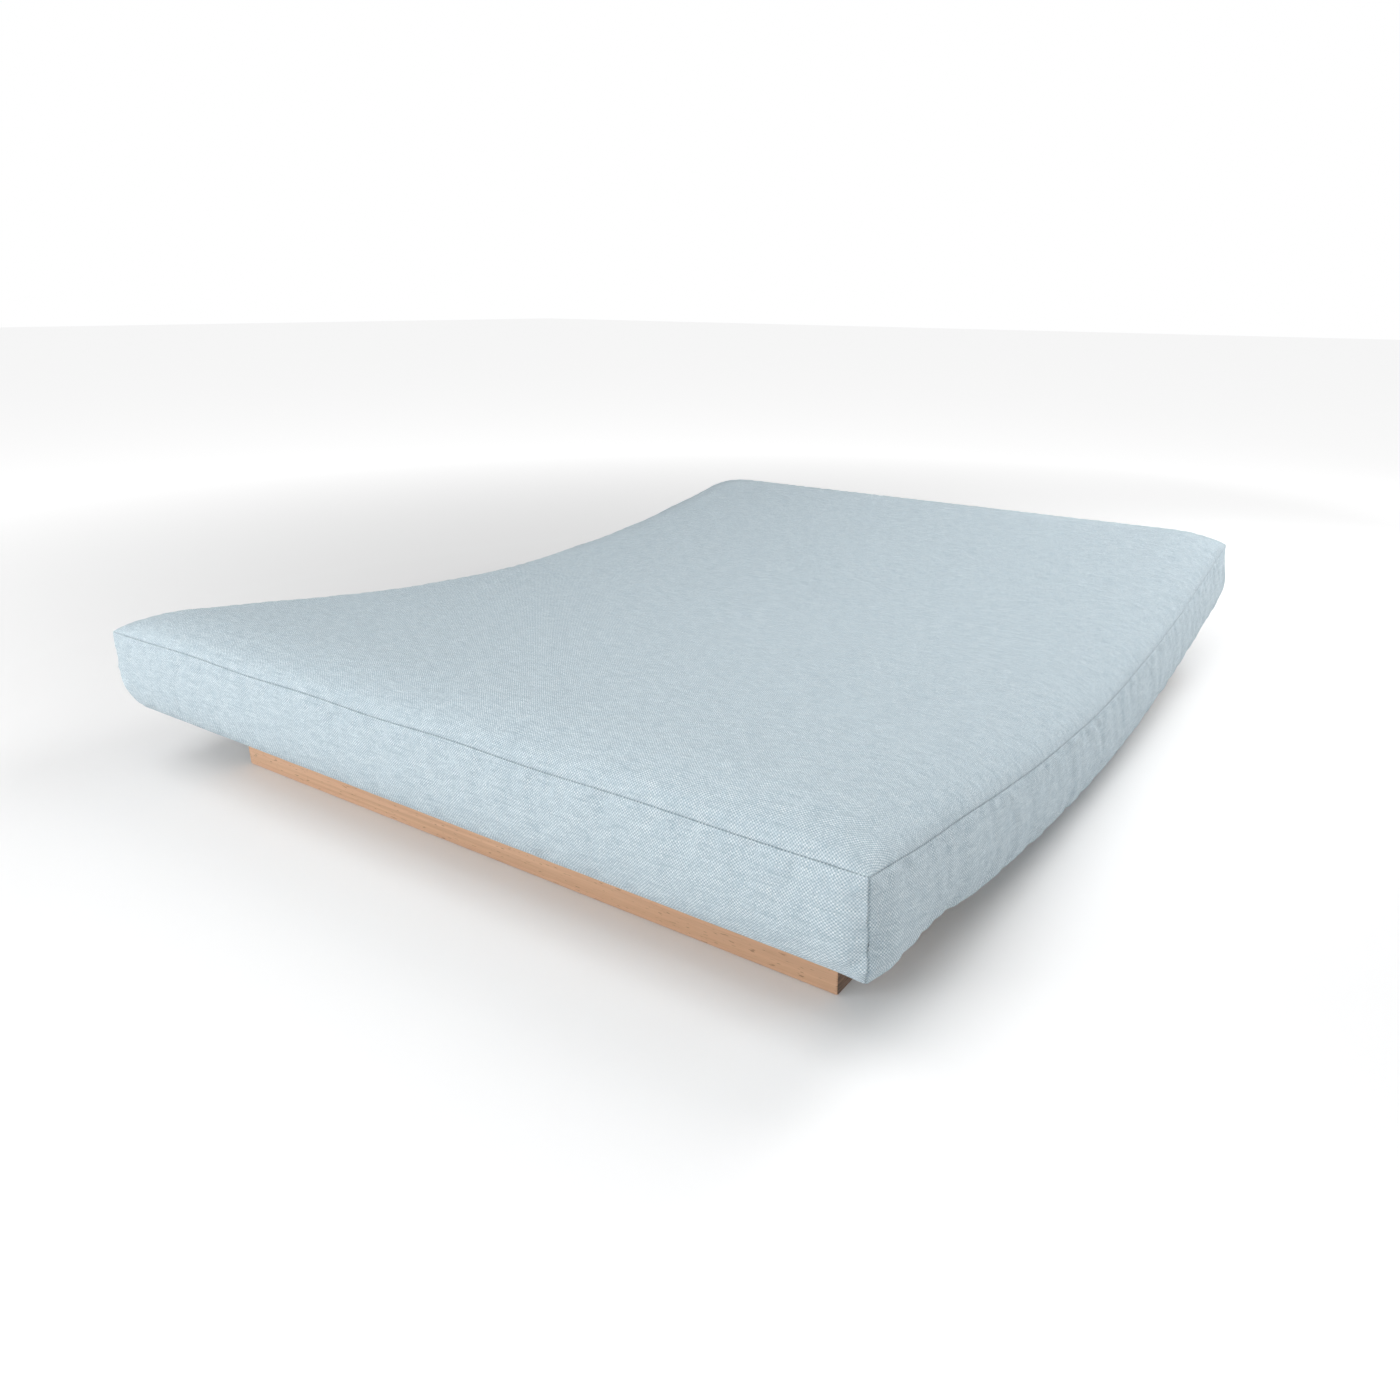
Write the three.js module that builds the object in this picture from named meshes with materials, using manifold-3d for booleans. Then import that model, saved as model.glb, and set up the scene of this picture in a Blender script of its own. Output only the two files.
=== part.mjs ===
// A 160 x 200 cm futon mattress in a zipped cover, lying in a low slatted base with a dipped top.
// Millimetres. +X runs across the width, +Y from front to back, +Z up. The origin is on the floor,
// under the middle of the object. The mattress lies in a dip that runs across the base, so every
// layer of it follows the same curve, which seamHeight(y) gives for the seam round the top.
import * as THREE from "three";
import { mergeVertices } from "three/addons/utils/BufferGeometryUtils.js";
import Module from "manifold-3d";

const wasm = await Module();
wasm.setup();

// The mattress as it lies
const WIDTH = 1600;
const SPAN = 1987; // front to back on the level: 2000 mm of mattress along the curve
const THICKNESS = 140; // seam to seam
const END_SEAM = 300; // height of the top seam along the front and back edges
const DIP = 107; // how much lower the seam is half way back
const CROWN = 54; // how far the top swells above its seam
const SHOULDER = 133; // how far in from the seam the swell reaches its full height

// Fabric and fillings
const COVER = 2;
const CALICO = 1.2;
const COTTON = 28;
const FOAM = 32;
const GAP = 0.3; // between pieces that touch
const LOOSE = 0.4; // between the inner case, what it holds and the cover

// The zip along the middle of the back border
const ZIP_HALF_LENGTH = 740;
const ZIP_SLOT = 9; // half the height of the opening in the border
const TAPE_HEIGHT = 16;
const TAPE_THICKNESS = 1;
const TAPE_DEPTH = 7.5; // from the outside of the border in to the back of the tape
const TAPE_SPARE = 25; // how far the tape runs on past each end of the coil
const TAB_START = 30; // from the end of the coil to the tab that closes the opening
const COIL_HALF_HEIGHT = 2.9;
const COIL_THICKNESS = 1.8;
const STOP_LENGTH = 4;
const SLIDER_LENGTH = 11;
const SLIDER_WALL = 1;
const SLIDER_REST = ZIP_HALF_LENGTH - 12; // the slider's middle, left of centre, with the zip closed
const LUG_RADIUS = 1.7;
const LUG_BORE = 1;
const LUG_WIDTH = 2;
const LUG_RISE = 1.3; // from the slider's face to the middle of the bore
const PULL_LENGTH = 26;
const PULL_WIDTH = 6.4;
const PULL_BAR = 0.6; // half the thickness of the pull
const PULL_EYE = 3;
const PULL_CORNER = 1.5;
const PULL_PLAY = 0.4; // on each side of the lug

// The base
const RAIL_LENGTH = 1365;
const RAIL_SETBACK = 151; // from the front of the mattress back to the rail
const RAIL_THICKNESS = 48;
const RAIL_EDGE = 4; // radius along the rail's lower edges
const RAIL_END_EDGE = 2.5; // radius round its ends
const BEARER_THICKNESS = 24;
const BEARER_INSET = 20; // from the end of the rail
const SLAT_COUNT = 12;
const SLAT_WIDTH = 80;
const SLAT_THICKNESS = 18;
const SLAT_PITCH = 132;
const SLAT_EDGE = 3;
const REST_GAP = 0.6; // between the mattress and what it lies on
const SEAT_GAP = 0.8; // between a slat and the curved edge under its middle
const STRAP_WIDTH = 40;
const STRAP_THICKNESS = 1.5;
const STRAP_X = 330;
const BLOCK = 44;
const BLOCK_BOTTOM = 10;
const BLOCK_HEIGHT = 80;
const BOLT_RADIUS = 3.5;
const BOLT_HEAD_RADIUS = 8;
const BOLT_HEAD = 3;
const BOLT_LENGTH = 74;
const BOLT_SOCKET = 2.9;
const BOLT_CHAMFER = 1;
const BOLT_SPREAD = 20; // each bolt of a pair above or below the middle of its block
const BORE_CLEARANCE = 0.3;
const BORE_SPARE = 2; // beyond the end of the bolt

// Stations along the curve, closer together near the edges
const ROWS = 32;
const COLUMNS = 12;

const FRONT = -SPAN / 2;
const BACK = SPAN / 2;
const ZIP_HEIGHT = END_SEAM - THICKNESS / 2;
const RAIL_FRONT_FACE = FRONT + RAIL_SETBACK;
const RAIL_INNER_FACE = RAIL_FRONT_FACE + RAIL_THICKNESS;
const BEARER_REACH = -RAIL_INNER_FACE - GAP;
const BEARER_X = RAIL_LENGTH / 2 - BEARER_INSET - BEARER_THICKNESS / 2;

const linen = { color: 0xb9ccd6, roughness: 0.92, metalness: 0 };
const calico = { color: 0xe6dfcc, roughness: 0.92, metalness: 0 };
const cotton = { color: 0xefeade, roughness: 0.95, metalness: 0 };
const foam = { color: 0xe9e2c4, roughness: 0.9, metalness: 0 };
const coir = { color: 0x8a6238, roughness: 0.95, metalness: 0 };
const tape = { color: 0xa9bac4, roughness: 0.85, metalness: 0 };
const nylon = { color: 0xa3b4be, roughness: 0.5, metalness: 0 };
const nickel = { color: 0xb9bbbd, roughness: 0.3, metalness: 1 };
const beech = { color: 0xc69f7c, roughness: 0.55, metalness: 0 };
const birch = { color: 0xd8bd94, roughness: 0.6, metalness: 0 };
const webbing = { color: 0xd9d4c6, roughness: 0.85, metalness: 0 };
const steel = { color: 0x8f9194, roughness: 0.35, metalness: 1 };

const group = new THREE.Group();
group.name = "futon_mattress";

function piece(name, geometry, finish, parent = group) {
  const mesh = new THREE.Mesh(geometry, new THREE.MeshStandardMaterial(finish));
  mesh.name = name;
  parent.add(mesh);
  return mesh;
}

// --- the curve that the mattress follows ---------------------------------------------------

function seamHeight(y) {
  return END_SEAM - DIP * Math.cos((Math.PI * y) / SPAN);
}

function underside(y) {
  return seamHeight(y) - THICKNESS;
}

function slope(y) {
  return Math.atan(seamHeight(y + 0.5) - seamHeight(y - 0.5));
}

// A quarter round that rises from 0 at a seam to 1 where the swell is full
function shoulder(distance) {
  const left = 1 - Math.min(distance / SHOULDER, 1);
  return Math.sqrt(1 - left * left);
}

// t and s run from -1 at one edge of the panel to 1 at the other
function crown(t, s) {
  const across = shoulder(((1 - Math.abs(t)) * WIDTH) / 2);
  const along = shoulder(((1 - Math.abs(s)) * SPAN) / 2);
  return CROWN * across * along;
}

function stations(count) {
  const list = [];
  for (let k = 0; k <= count; k += 1) {
    list.push(Math.sin(Math.PI * (k / count - 0.5)));
  }
  list[0] = -1;
  list[count] = 1;
  return list;
}

// --- solids --------------------------------------------------------------------------------

// A closed skin round two matching grids of points, one above the other
function gridSolid(columns, rows, top, bottom) {
  const points = [];
  const faces = [];
  const across = columns + 1;
  const layer = across * (rows + 1);
  for (const surface of [top, bottom]) {
    for (let j = 0; j <= rows; j += 1) {
      for (let i = 0; i <= columns; i += 1) {
        points.push(...surface(i, j));
      }
    }
  }
  const at = (i, j, under) => j * across + i + (under ? layer : 0);
  const quad = (a, b, c, d) => faces.push(a, b, c, a, c, d);
  for (let j = 0; j < rows; j += 1) {
    for (let i = 0; i < columns; i += 1) {
      quad(at(i, j), at(i + 1, j), at(i + 1, j + 1), at(i, j + 1));
      quad(at(i, j, true), at(i, j + 1, true), at(i + 1, j + 1, true), at(i + 1, j, true));
    }
  }
  for (let i = 0; i < columns; i += 1) {
    quad(at(i, 0, true), at(i + 1, 0, true), at(i + 1, 0), at(i, 0));
    quad(at(i, rows), at(i + 1, rows), at(i + 1, rows, true), at(i, rows, true));
  }
  for (let j = 0; j < rows; j += 1) {
    quad(at(0, j), at(0, j + 1), at(0, j + 1, true), at(0, j, true));
    quad(at(columns, j, true), at(columns, j + 1, true), at(columns, j + 1), at(columns, j));
  }
  const geometry = new THREE.BufferGeometry();
  geometry.setAttribute("position", new THREE.Float32BufferAttribute(points, 3));
  geometry.setIndex(faces);
  geometry.computeVertexNormals();
  return geometry;
}

// A slab between two depths under the seam surface, its top and its underside crowned by choice
function curvedSlab({ x, y, depth, crowned = [false, false], columns = 1, rows = ROWS }) {
  const xs = columns === 1 ? [-1, 1] : stations(columns);
  const ys = rows === 1 ? [-1, 1] : stations(rows);
  const surface = (down, swells) => (i, j) => {
    const px = THREE.MathUtils.lerp(x[0], x[1], (xs[i] + 1) / 2);
    const py = THREE.MathUtils.lerp(y[0], y[1], (ys[j] + 1) / 2);
    const lift = swells ? crown(xs[i], ys[j]) : 0;
    return [px, py, seamHeight(py) - down + lift];
  };
  const top = surface(depth[0], crowned[0]);
  const bottom = surface(depth[1], crowned[1]);
  return gridSolid(columns, rows, top, bottom);
}

function footprint(inset) {
  return { x: [-WIDTH / 2 + inset, WIDTH / 2 - inset], y: [FRONT + inset, BACK - inset] };
}

function box(x, y, z) {
  const geometry = new THREE.BoxGeometry(x[1] - x[0], y[1] - y[0], z[1] - z[0]);
  geometry.translate((x[0] + x[1]) / 2, (y[0] + y[1]) / 2, (z[0] + z[1]) / 2);
  return geometry;
}

function solid(geometry) {
  const bare = geometry.clone();
  bare.deleteAttribute("normal");
  bare.deleteAttribute("uv");
  const merged = mergeVertices(bare, 1e-3);
  return new wasm.Manifold(
    new wasm.Mesh({
      numProp: 3,
      vertProperties: new Float32Array(merged.attributes.position.array),
      triVerts: new Uint32Array(merged.index.array),
    }),
  );
}

function geometryOf(manifold) {
  const mesh = manifold.getMesh();
  const geometry = new THREE.BufferGeometry();
  geometry.setAttribute("position", new THREE.BufferAttribute(mesh.vertProperties, 3));
  geometry.setIndex(new THREE.BufferAttribute(mesh.triVerts, 1));
  geometry.computeVertexNormals();
  return geometry;
}

function cut(geometry, tools) {
  let body = solid(geometry);
  for (const tool of tools) {
    body = body.subtract(solid(tool));
  }
  return geometryOf(body);
}

function join(parts) {
  return geometryOf(parts.map(solid).reduce((body, part) => body.add(part)));
}

// Turns an outline drawn in Y and Z, and extruded, so that it runs along X
function alongX(geometry) {
  const turn = new THREE.Matrix4().makeBasis(
    new THREE.Vector3(0, 1, 0),
    new THREE.Vector3(0, 0, 1),
    new THREE.Vector3(1, 0, 0),
  );
  return geometry.applyMatrix4(turn);
}

function extrudeAlongX(shape, length) {
  const geometry = new THREE.ExtrudeGeometry(shape, { depth: length, bevelEnabled: false });
  geometry.translate(0, 0, -length / 2);
  return alongX(geometry);
}

// A rectangle with round corners, from low to high in both directions
function roundedRectangle(u, v, radius) {
  const shape = new THREE.Shape();
  shape.absarc(u[1] - radius, v[0] + radius, radius, -Math.PI / 2, 0);
  shape.absarc(u[1] - radius, v[1] - radius, radius, 0, Math.PI / 2);
  shape.absarc(u[0] + radius, v[1] - radius, radius, Math.PI / 2, Math.PI);
  shape.absarc(u[0] + radius, v[0] + radius, radius, Math.PI, 1.5 * Math.PI);
  shape.closePath();
  return shape;
}

// --- the cover -----------------------------------------------------------------------------

function addCover() {
  const full = footprint(0);
  const side = THICKNESS - COVER - GAP;
  const inner = [FRONT + COVER + GAP, BACK - COVER - GAP];
  const top = { ...full, depth: [0, COVER], crowned: [true, true], columns: COLUMNS };
  piece("cover_top_panel", curvedSlab(top), linen);
  piece("cover_bottom_panel", curvedSlab({ ...full, depth: [THICKNESS - COVER, THICKNESS] }), linen);
  const front = { x: full.x, y: [FRONT, FRONT + COVER], depth: [COVER + GAP, side], rows: 1 };
  piece("cover_border_front", curvedSlab(front), linen);
  const left = { x: [full.x[0], full.x[0] + COVER], y: inner, depth: [COVER + GAP, side] };
  piece("cover_border_left", curvedSlab(left), linen);
  const right = { x: [full.x[1] - COVER, full.x[1]], y: inner, depth: [COVER + GAP, side] };
  piece("cover_border_right", curvedSlab(right), linen);
  const slot = THICKNESS / 2;
  const back = { x: full.x, y: [BACK - COVER, BACK], rows: 1 };
  piece("cover_border_back_upper", curvedSlab({ ...back, depth: [COVER + GAP, slot - ZIP_SLOT] }), linen);
  piece("cover_border_back_lower", curvedSlab({ ...back, depth: [slot + ZIP_SLOT, side] }), linen);
}

// --- the zip -------------------------------------------------------------------------------

const TAPE_BACK = BACK - TAPE_DEPTH;
const TAPE_FRONT = TAPE_BACK + TAPE_THICKNESS;
const COIL_BACK = TAPE_FRONT + GAP;
const COIL_FRONT = COIL_BACK + COIL_THICKNESS;
const SLIDER_FACE = COIL_FRONT + GAP + SLIDER_WALL;
const LUG_AXIS = SLIDER_FACE + LUG_RISE;

function addZipStrip() {
  const tapeX = [-ZIP_HALF_LENGTH - TAPE_SPARE, ZIP_HALF_LENGTH + TAPE_SPARE];
  const tapeY = [TAPE_BACK, TAPE_FRONT];
  const coilZ = [ZIP_HEIGHT - COIL_HALF_HEIGHT, ZIP_HEIGHT + COIL_HALF_HEIGHT];
  const coilY = [COIL_BACK, COIL_FRONT];
  piece("zip_tape_upper", box(tapeX, tapeY, [ZIP_HEIGHT + GAP, ZIP_HEIGHT + TAPE_HEIGHT]), tape);
  piece("zip_tape_lower", box(tapeX, tapeY, [ZIP_HEIGHT - TAPE_HEIGHT, ZIP_HEIGHT - GAP]), tape);
  piece("zip_coil", box([-ZIP_HALF_LENGTH, ZIP_HALF_LENGTH], coilY, coilZ), nylon);
  const slot = THICKNESS / 2;
  const tab = { y: [BACK - COVER, BACK], depth: [slot - ZIP_SLOT + GAP, slot + ZIP_SLOT - GAP], rows: 1 };
  for (const [name, sign] of [["left", -1], ["right", 1]]) {
    const stop = ZIP_HALF_LENGTH + GAP + STOP_LENGTH / 2;
    const stopX = [sign * stop - STOP_LENGTH / 2, sign * stop + STOP_LENGTH / 2];
    const tabX = [sign * (ZIP_HALF_LENGTH + TAB_START), sign * (WIDTH / 2)].sort((a, b) => a - b);
    piece(`zip_stop_${name}`, box(stopX, coilY, coilZ), nickel);
    piece(`zip_end_tab_${name}`, curvedSlab({ ...tab, x: tabX }), linen);
  }
}

// The slider is a channel over the coil, with a bored lug on it that holds the pull
function sliderGeometry() {
  const half = COIL_HALF_HEIGHT + 2 * GAP;
  const length = SLIDER_LENGTH / 2;
  const outer = half + SLIDER_WALL;
  const plate = box([-length, length], [COIL_FRONT + GAP, SLIDER_FACE], [-outer, outer]);
  const upperWall = box([-length, length], [COIL_BACK, SLIDER_FACE], [half, outer]);
  const lowerWall = box([-length, length], [COIL_BACK, SLIDER_FACE], [-outer, -half]);
  const foot = SLIDER_FACE - SLIDER_WALL / 2 - LUG_AXIS;
  const outline = new THREE.Shape();
  outline.moveTo(-LUG_RADIUS, foot);
  outline.lineTo(LUG_RADIUS, foot);
  outline.absarc(0, 0, LUG_RADIUS, 0, Math.PI);
  const hole = new THREE.Path();
  hole.absarc(0, 0, LUG_BORE, 0, 2 * Math.PI);
  outline.holes.push(hole);
  const options = { depth: LUG_WIDTH, bevelEnabled: false, curveSegments: 8 };
  const lug = new THREE.ExtrudeGeometry(outline, options);
  lug.translate(0, LUG_AXIS, -LUG_WIDTH / 2);
  return join([plate, upperWall, lowerWall, lug]);
}

// The pull is a flat tag whose eye has a round bar, which turns in the lug
function pullGeometry() {
  const eye = LUG_WIDTH / 2 + PULL_PLAY;
  const across = [-PULL_WIDTH / 2, PULL_WIDTH / 2];
  const outline = roundedRectangle([-PULL_BAR, PULL_LENGTH], across, PULL_CORNER);
  const options = { depth: 2 * PULL_BAR, bevelEnabled: false, curveSegments: 4 };
  const tag = new THREE.ExtrudeGeometry(outline, options);
  tag.translate(0, 0, -PULL_BAR);
  tag.rotateX(Math.PI / 2);
  const opening = box([-2 * PULL_BAR, PULL_EYE], [-2 * PULL_BAR, 2 * PULL_BAR], [-eye, eye]);
  const bar = new THREE.CylinderGeometry(PULL_BAR, PULL_BAR, 2 * eye + PULL_BAR, 12);
  bar.rotateX(Math.PI / 2);
  return join([cut(tag, [opening]), bar]);
}

function addSlider() {
  const slider = piece("zip_slider", sliderGeometry(), nickel);
  slider.position.set(-SLIDER_REST, 0, ZIP_HEIGHT);
  const pull = piece("zip_pull", pullGeometry(), nickel);
  pull.position.set(-SLIDER_REST, LUG_AXIS, ZIP_HEIGHT);
}

// --- what the cover holds ------------------------------------------------------------------

function addFilling() {
  const caseTop = COVER + LOOSE;
  const caseBottom = THICKNESS - COVER - LOOSE;
  const caseSide = footprint(COVER + TAPE_DEPTH);
  const swollen = { crowned: [true, true], columns: COLUMNS };
  const top = { ...caseSide, ...swollen, depth: [caseTop, caseTop + CALICO] };
  piece("inner_case_top", curvedSlab(top), calico);
  piece("inner_case_bottom", curvedSlab({ ...caseSide, depth: [caseBottom - CALICO, caseBottom] }), calico);
  const filled = [caseTop + CALICO + LOOSE, caseBottom - CALICO - LOOSE];
  const outer = curvedSlab({ ...caseSide, depth: filled });
  const hollow = { ...footprint(COVER + TAPE_DEPTH + CALICO), depth: [-CROWN, THICKNESS + CROWN] };
  piece("inner_case_border", cut(outer, [curvedSlab(hollow)]), calico);

  const bed = footprint(COVER + TAPE_DEPTH + CALICO + LOOSE);
  const middle = filled[1] - filled[0] - 2 * COTTON - 2 * FOAM - 4 * GAP;
  const layers = [
    ["cotton_batt_top", COTTON, cotton],
    ["foam_layer_upper", FOAM, foam],
    ["coir_core", middle, coir],
    ["foam_layer_lower", FOAM, foam],
    ["cotton_batt_bottom", COTTON, cotton],
  ];
  let depth = filled[0];
  for (const [name, thickness, finish] of layers) {
    const shape = { ...bed, depth: [depth, depth + thickness] };
    if (name === "cotton_batt_top") {
      shape.crowned = [true, false];
      shape.columns = COLUMNS;
    }
    piece(name, curvedSlab(shape), finish);
    depth += thickness + GAP;
  }
}

// --- the base ------------------------------------------------------------------------------

// A plain bore for a bolt, running along Y between two places
function bore(x, y, z) {
  const radius = BOLT_RADIUS + BORE_CLEARANCE;
  const tool = new THREE.CylinderGeometry(radius, radius, y[1] - y[0], 16);
  tool.translate(x, (y[0] + y[1]) / 2, z);
  return tool;
}

// Where the bolts go through the blocks behind the front rail
function boltPlaces() {
  const middle = BLOCK_BOTTOM + BLOCK_HEIGHT / 2;
  const side = BEARER_X - BEARER_THICKNESS / 2 - GAP - BLOCK / 2;
  const centre = BEARER_THICKNESS / 2 + GAP + BLOCK / 2;
  return [
    { name: "left", x: -side, heights: [middle - BOLT_SPREAD, middle + BOLT_SPREAD] },
    { name: "centre", x: centre, heights: [middle] },
    { name: "right", x: side, heights: [middle - BOLT_SPREAD, middle + BOLT_SPREAD] },
  ];
}

// The front rail, with its top edge cut to the slope of the mattress above it
function railGeometry() {
  const y = [RAIL_FRONT_FACE, RAIL_INNER_FACE];
  const top = [underside(y[0]) - REST_GAP, underside(y[1]) - REST_GAP];
  const outline = new THREE.Shape();
  outline.absarc(y[1] - RAIL_EDGE, RAIL_EDGE, RAIL_EDGE, -Math.PI / 2, 0);
  outline.lineTo(y[1], top[1]);
  outline.lineTo(y[0], top[0]);
  outline.absarc(y[0] + RAIL_EDGE, RAIL_EDGE, RAIL_EDGE, Math.PI, 1.5 * Math.PI);
  outline.closePath();
  const rail = new THREE.ExtrudeGeometry(outline, {
    depth: RAIL_LENGTH - 2 * RAIL_END_EDGE,
    bevelThickness: RAIL_END_EDGE,
    bevelSize: RAIL_END_EDGE,
    bevelOffset: -RAIL_END_EDGE,
    bevelSegments: 3,
    curveSegments: 4,
  });
  rail.translate(0, 0, -RAIL_LENGTH / 2 + RAIL_END_EDGE);
  const tools = [];
  const depth = BOLT_LENGTH - BLOCK + BORE_SPARE;
  for (const place of boltPlaces()) {
    for (const z of place.heights) {
      tools.push(bore(place.x, [RAIL_INNER_FACE - depth, RAIL_INNER_FACE + 1], z));
    }
  }
  return cut(alongX(rail), tools);
}

function blockGeometry(place) {
  const x = [place.x - BLOCK / 2, place.x + BLOCK / 2];
  const y = [RAIL_INNER_FACE + GAP, RAIL_INNER_FACE + GAP + BLOCK];
  const block = box(x, y, [BLOCK_BOTTOM, BLOCK_BOTTOM + BLOCK_HEIGHT]);
  return cut(block, place.heights.map((z) => bore(place.x, [y[0] - 1, y[1] + 1], z)));
}

// A connector bolt with a flat head and a hexagon socket, its shank running towards -Y
function boltGeometry() {
  const profile = [
    [0, -BOLT_LENGTH],
    [BOLT_RADIUS - BOLT_CHAMFER, -BOLT_LENGTH],
    [BOLT_RADIUS, -BOLT_LENGTH + BOLT_CHAMFER],
    [BOLT_RADIUS, 0],
    [BOLT_HEAD_RADIUS, 0],
    [BOLT_HEAD_RADIUS, BOLT_HEAD - BOLT_CHAMFER],
    [BOLT_HEAD_RADIUS - BOLT_CHAMFER, BOLT_HEAD],
    [0, BOLT_HEAD],
  ].map(([r, y]) => new THREE.Vector2(r, y));
  const socket = new THREE.CylinderGeometry(BOLT_SOCKET, BOLT_SOCKET, 2 * BOLT_HEAD, 6);
  socket.translate(0, 1.3 * BOLT_HEAD, 0);
  return cut(new THREE.LatheGeometry(profile, 16), [socket]);
}

// Both ends of the base are alike, so the back one is the front one turned about the middle
function addEnd(name, turn, sides) {
  const end = new THREE.Group();
  end.rotation.z = turn;
  group.add(end);
  piece(`rail_${name}`, railGeometry(), beech, end);
  for (const place of boltPlaces()) {
    const side = sides[place.name];
    piece(`joint_block_${name}_${side}`, blockGeometry(place), beech, end);
    place.heights.forEach((z, k) => {
      const level = place.heights.length > 1 ? `_${["low", "high"][k]}` : "";
      const bolt = piece(`bolt_${name}_${side}${level}`, boltGeometry(), steel, end);
      bolt.position.set(place.x, RAIL_INNER_FACE + BLOCK + 2 * GAP, z);
    });
  }
}

// Height of the curved edge that the slats lie on
function seatHeight(y) {
  return underside(y) - REST_GAP - SLAT_THICKNESS / Math.cos(slope(y)) - SEAT_GAP;
}

function seatCurve(reach) {
  return Array.from({ length: ROWS + 1 }, (_, k) => {
    const y = THREE.MathUtils.lerp(-reach, reach, k / ROWS);
    return new THREE.Vector2(y, seatHeight(y));
  });
}

function addBearers() {
  const places = [["left", -BEARER_X], ["centre", 0], ["right", BEARER_X]];
  const corners = [new THREE.Vector2(BEARER_REACH, 0), new THREE.Vector2(-BEARER_REACH, 0)];
  const outline = new THREE.Shape([...seatCurve(BEARER_REACH), ...corners]);
  for (const [name, x] of places) {
    const bearer = piece(`bearer_${name}`, extrudeAlongX(outline, BEARER_THICKNESS), beech);
    bearer.position.x = x;
  }
}

// The highest that a slat can lie, tilted to the slope, without reaching into the mattress
function slatHeight(y) {
  const tilt = slope(y);
  let height = Infinity;
  for (let k = -4; k <= 4; k += 1) {
    const along = (k / 8) * SLAT_WIDTH;
    const room = underside(y + along * Math.cos(tilt)) - along * Math.sin(tilt);
    height = Math.min(height, room);
  }
  return height - REST_GAP;
}

function addSlats() {
  const section = roundedRectangle([-SLAT_WIDTH / 2, SLAT_WIDTH / 2], [-SLAT_THICKNESS, 0], SLAT_EDGE);
  const length = RAIL_LENGTH - 2 * BEARER_INSET;
  const options = { depth: length, bevelEnabled: false, curveSegments: 3 };
  for (let k = 0; k < SLAT_COUNT; k += 1) {
    const y = (k - (SLAT_COUNT - 1) / 2) * SLAT_PITCH;
    const geometry = new THREE.ExtrudeGeometry(section, options).translate(0, 0, -length / 2);
    const number = String(k + 1).padStart(2, "0");
    const slat = piece(`slat_${number}`, alongX(geometry), birch);
    slat.position.set(0, y, slatHeight(y));
    slat.rotation.x = slope(y);
  }
}

// Webbing that joins the slats into a mat, on their undersides
function addStraps() {
  const reach = ((SLAT_COUNT - 1) * SLAT_PITCH + SLAT_WIDTH) / 2;
  const top = seatCurve(reach);
  const bottom = top.map((point) => new THREE.Vector2(point.x, point.y - STRAP_THICKNESS)).reverse();
  const outline = new THREE.Shape([...top, ...bottom]);
  for (const [name, x] of [["left", -STRAP_X], ["right", STRAP_X]]) {
    const strap = piece(`slat_strap_${name}`, extrudeAlongX(outline, STRAP_WIDTH), webbing);
    strap.position.x = x;
  }
}

addCover();
addZipStrip();
addSlider();
addFilling();
addEnd("front", 0, { left: "left", centre: "centre", right: "right" });
addEnd("back", Math.PI, { left: "right", centre: "centre", right: "left" });
addBearers();
addSlats();
addStraps();

export default group;
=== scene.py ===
"""The looks of a 160 x 200 cm futon mattress in a zipped linen cover, on a low dipped beech base.

Everything is in metres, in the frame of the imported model: +X across, +Y from front to back, +Z up.
"""
import math

import bmesh
import bpy
import numpy as np
from mathutils import Matrix, Vector


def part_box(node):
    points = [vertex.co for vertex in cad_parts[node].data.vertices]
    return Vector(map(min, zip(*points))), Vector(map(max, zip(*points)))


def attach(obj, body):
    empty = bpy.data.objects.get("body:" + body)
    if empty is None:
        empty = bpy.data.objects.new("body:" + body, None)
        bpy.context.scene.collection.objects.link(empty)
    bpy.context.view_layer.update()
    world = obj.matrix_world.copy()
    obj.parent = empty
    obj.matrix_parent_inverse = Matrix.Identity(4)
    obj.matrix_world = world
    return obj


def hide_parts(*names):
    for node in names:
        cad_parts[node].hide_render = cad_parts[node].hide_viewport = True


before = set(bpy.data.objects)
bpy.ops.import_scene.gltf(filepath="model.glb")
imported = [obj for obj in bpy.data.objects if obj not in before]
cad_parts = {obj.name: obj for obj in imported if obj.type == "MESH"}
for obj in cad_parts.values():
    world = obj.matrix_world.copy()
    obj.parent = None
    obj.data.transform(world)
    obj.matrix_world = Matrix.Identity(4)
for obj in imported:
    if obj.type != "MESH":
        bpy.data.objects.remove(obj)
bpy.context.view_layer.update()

# --- sizes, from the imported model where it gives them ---

MM = 0.001
HALF_WIDTH, HALF_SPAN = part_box("cover_top_panel")[1].xy
SPAN = 2 * HALF_SPAN
THICKNESS = 0.140  # seam to seam
DIP = 0.107  # how much lower the top seam is half way back
CROWN = 0.054  # how far the top swells above its seam
SHOULDER = 0.133  # how far in from the seam the swell is full
COVER = 2 * MM
GAP = 0.3 * MM
END_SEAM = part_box("cover_border_front")[1].z + COVER + GAP
ZIP_SLOT = 9 * MM  # half the height of the opening for the zip
HEM_ROUND = 1.5 * MM  # where the border turns in beside the zip
HEM_TURN = 6 * MM  # how far it goes in, to meet the tape
ZIP_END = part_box("zip_tape_upper")[1].x - 5 * MM  # where the end tab starts, over the tape's end

SEED = 7


# --- the curve that the mattress follows ---

def seam_height(y):
    return END_SEAM - DIP * np.cos(np.pi * y / SPAN)


def shoulder(distance):
    left = 1 - np.clip(distance / SHOULDER, 0, 1)
    return np.sqrt(np.maximum(1 - left * left, 0))


def crown(x, y):
    return CROWN * shoulder(HALF_WIDTH - np.abs(x)) * shoulder(HALF_SPAN - np.abs(y))


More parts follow.
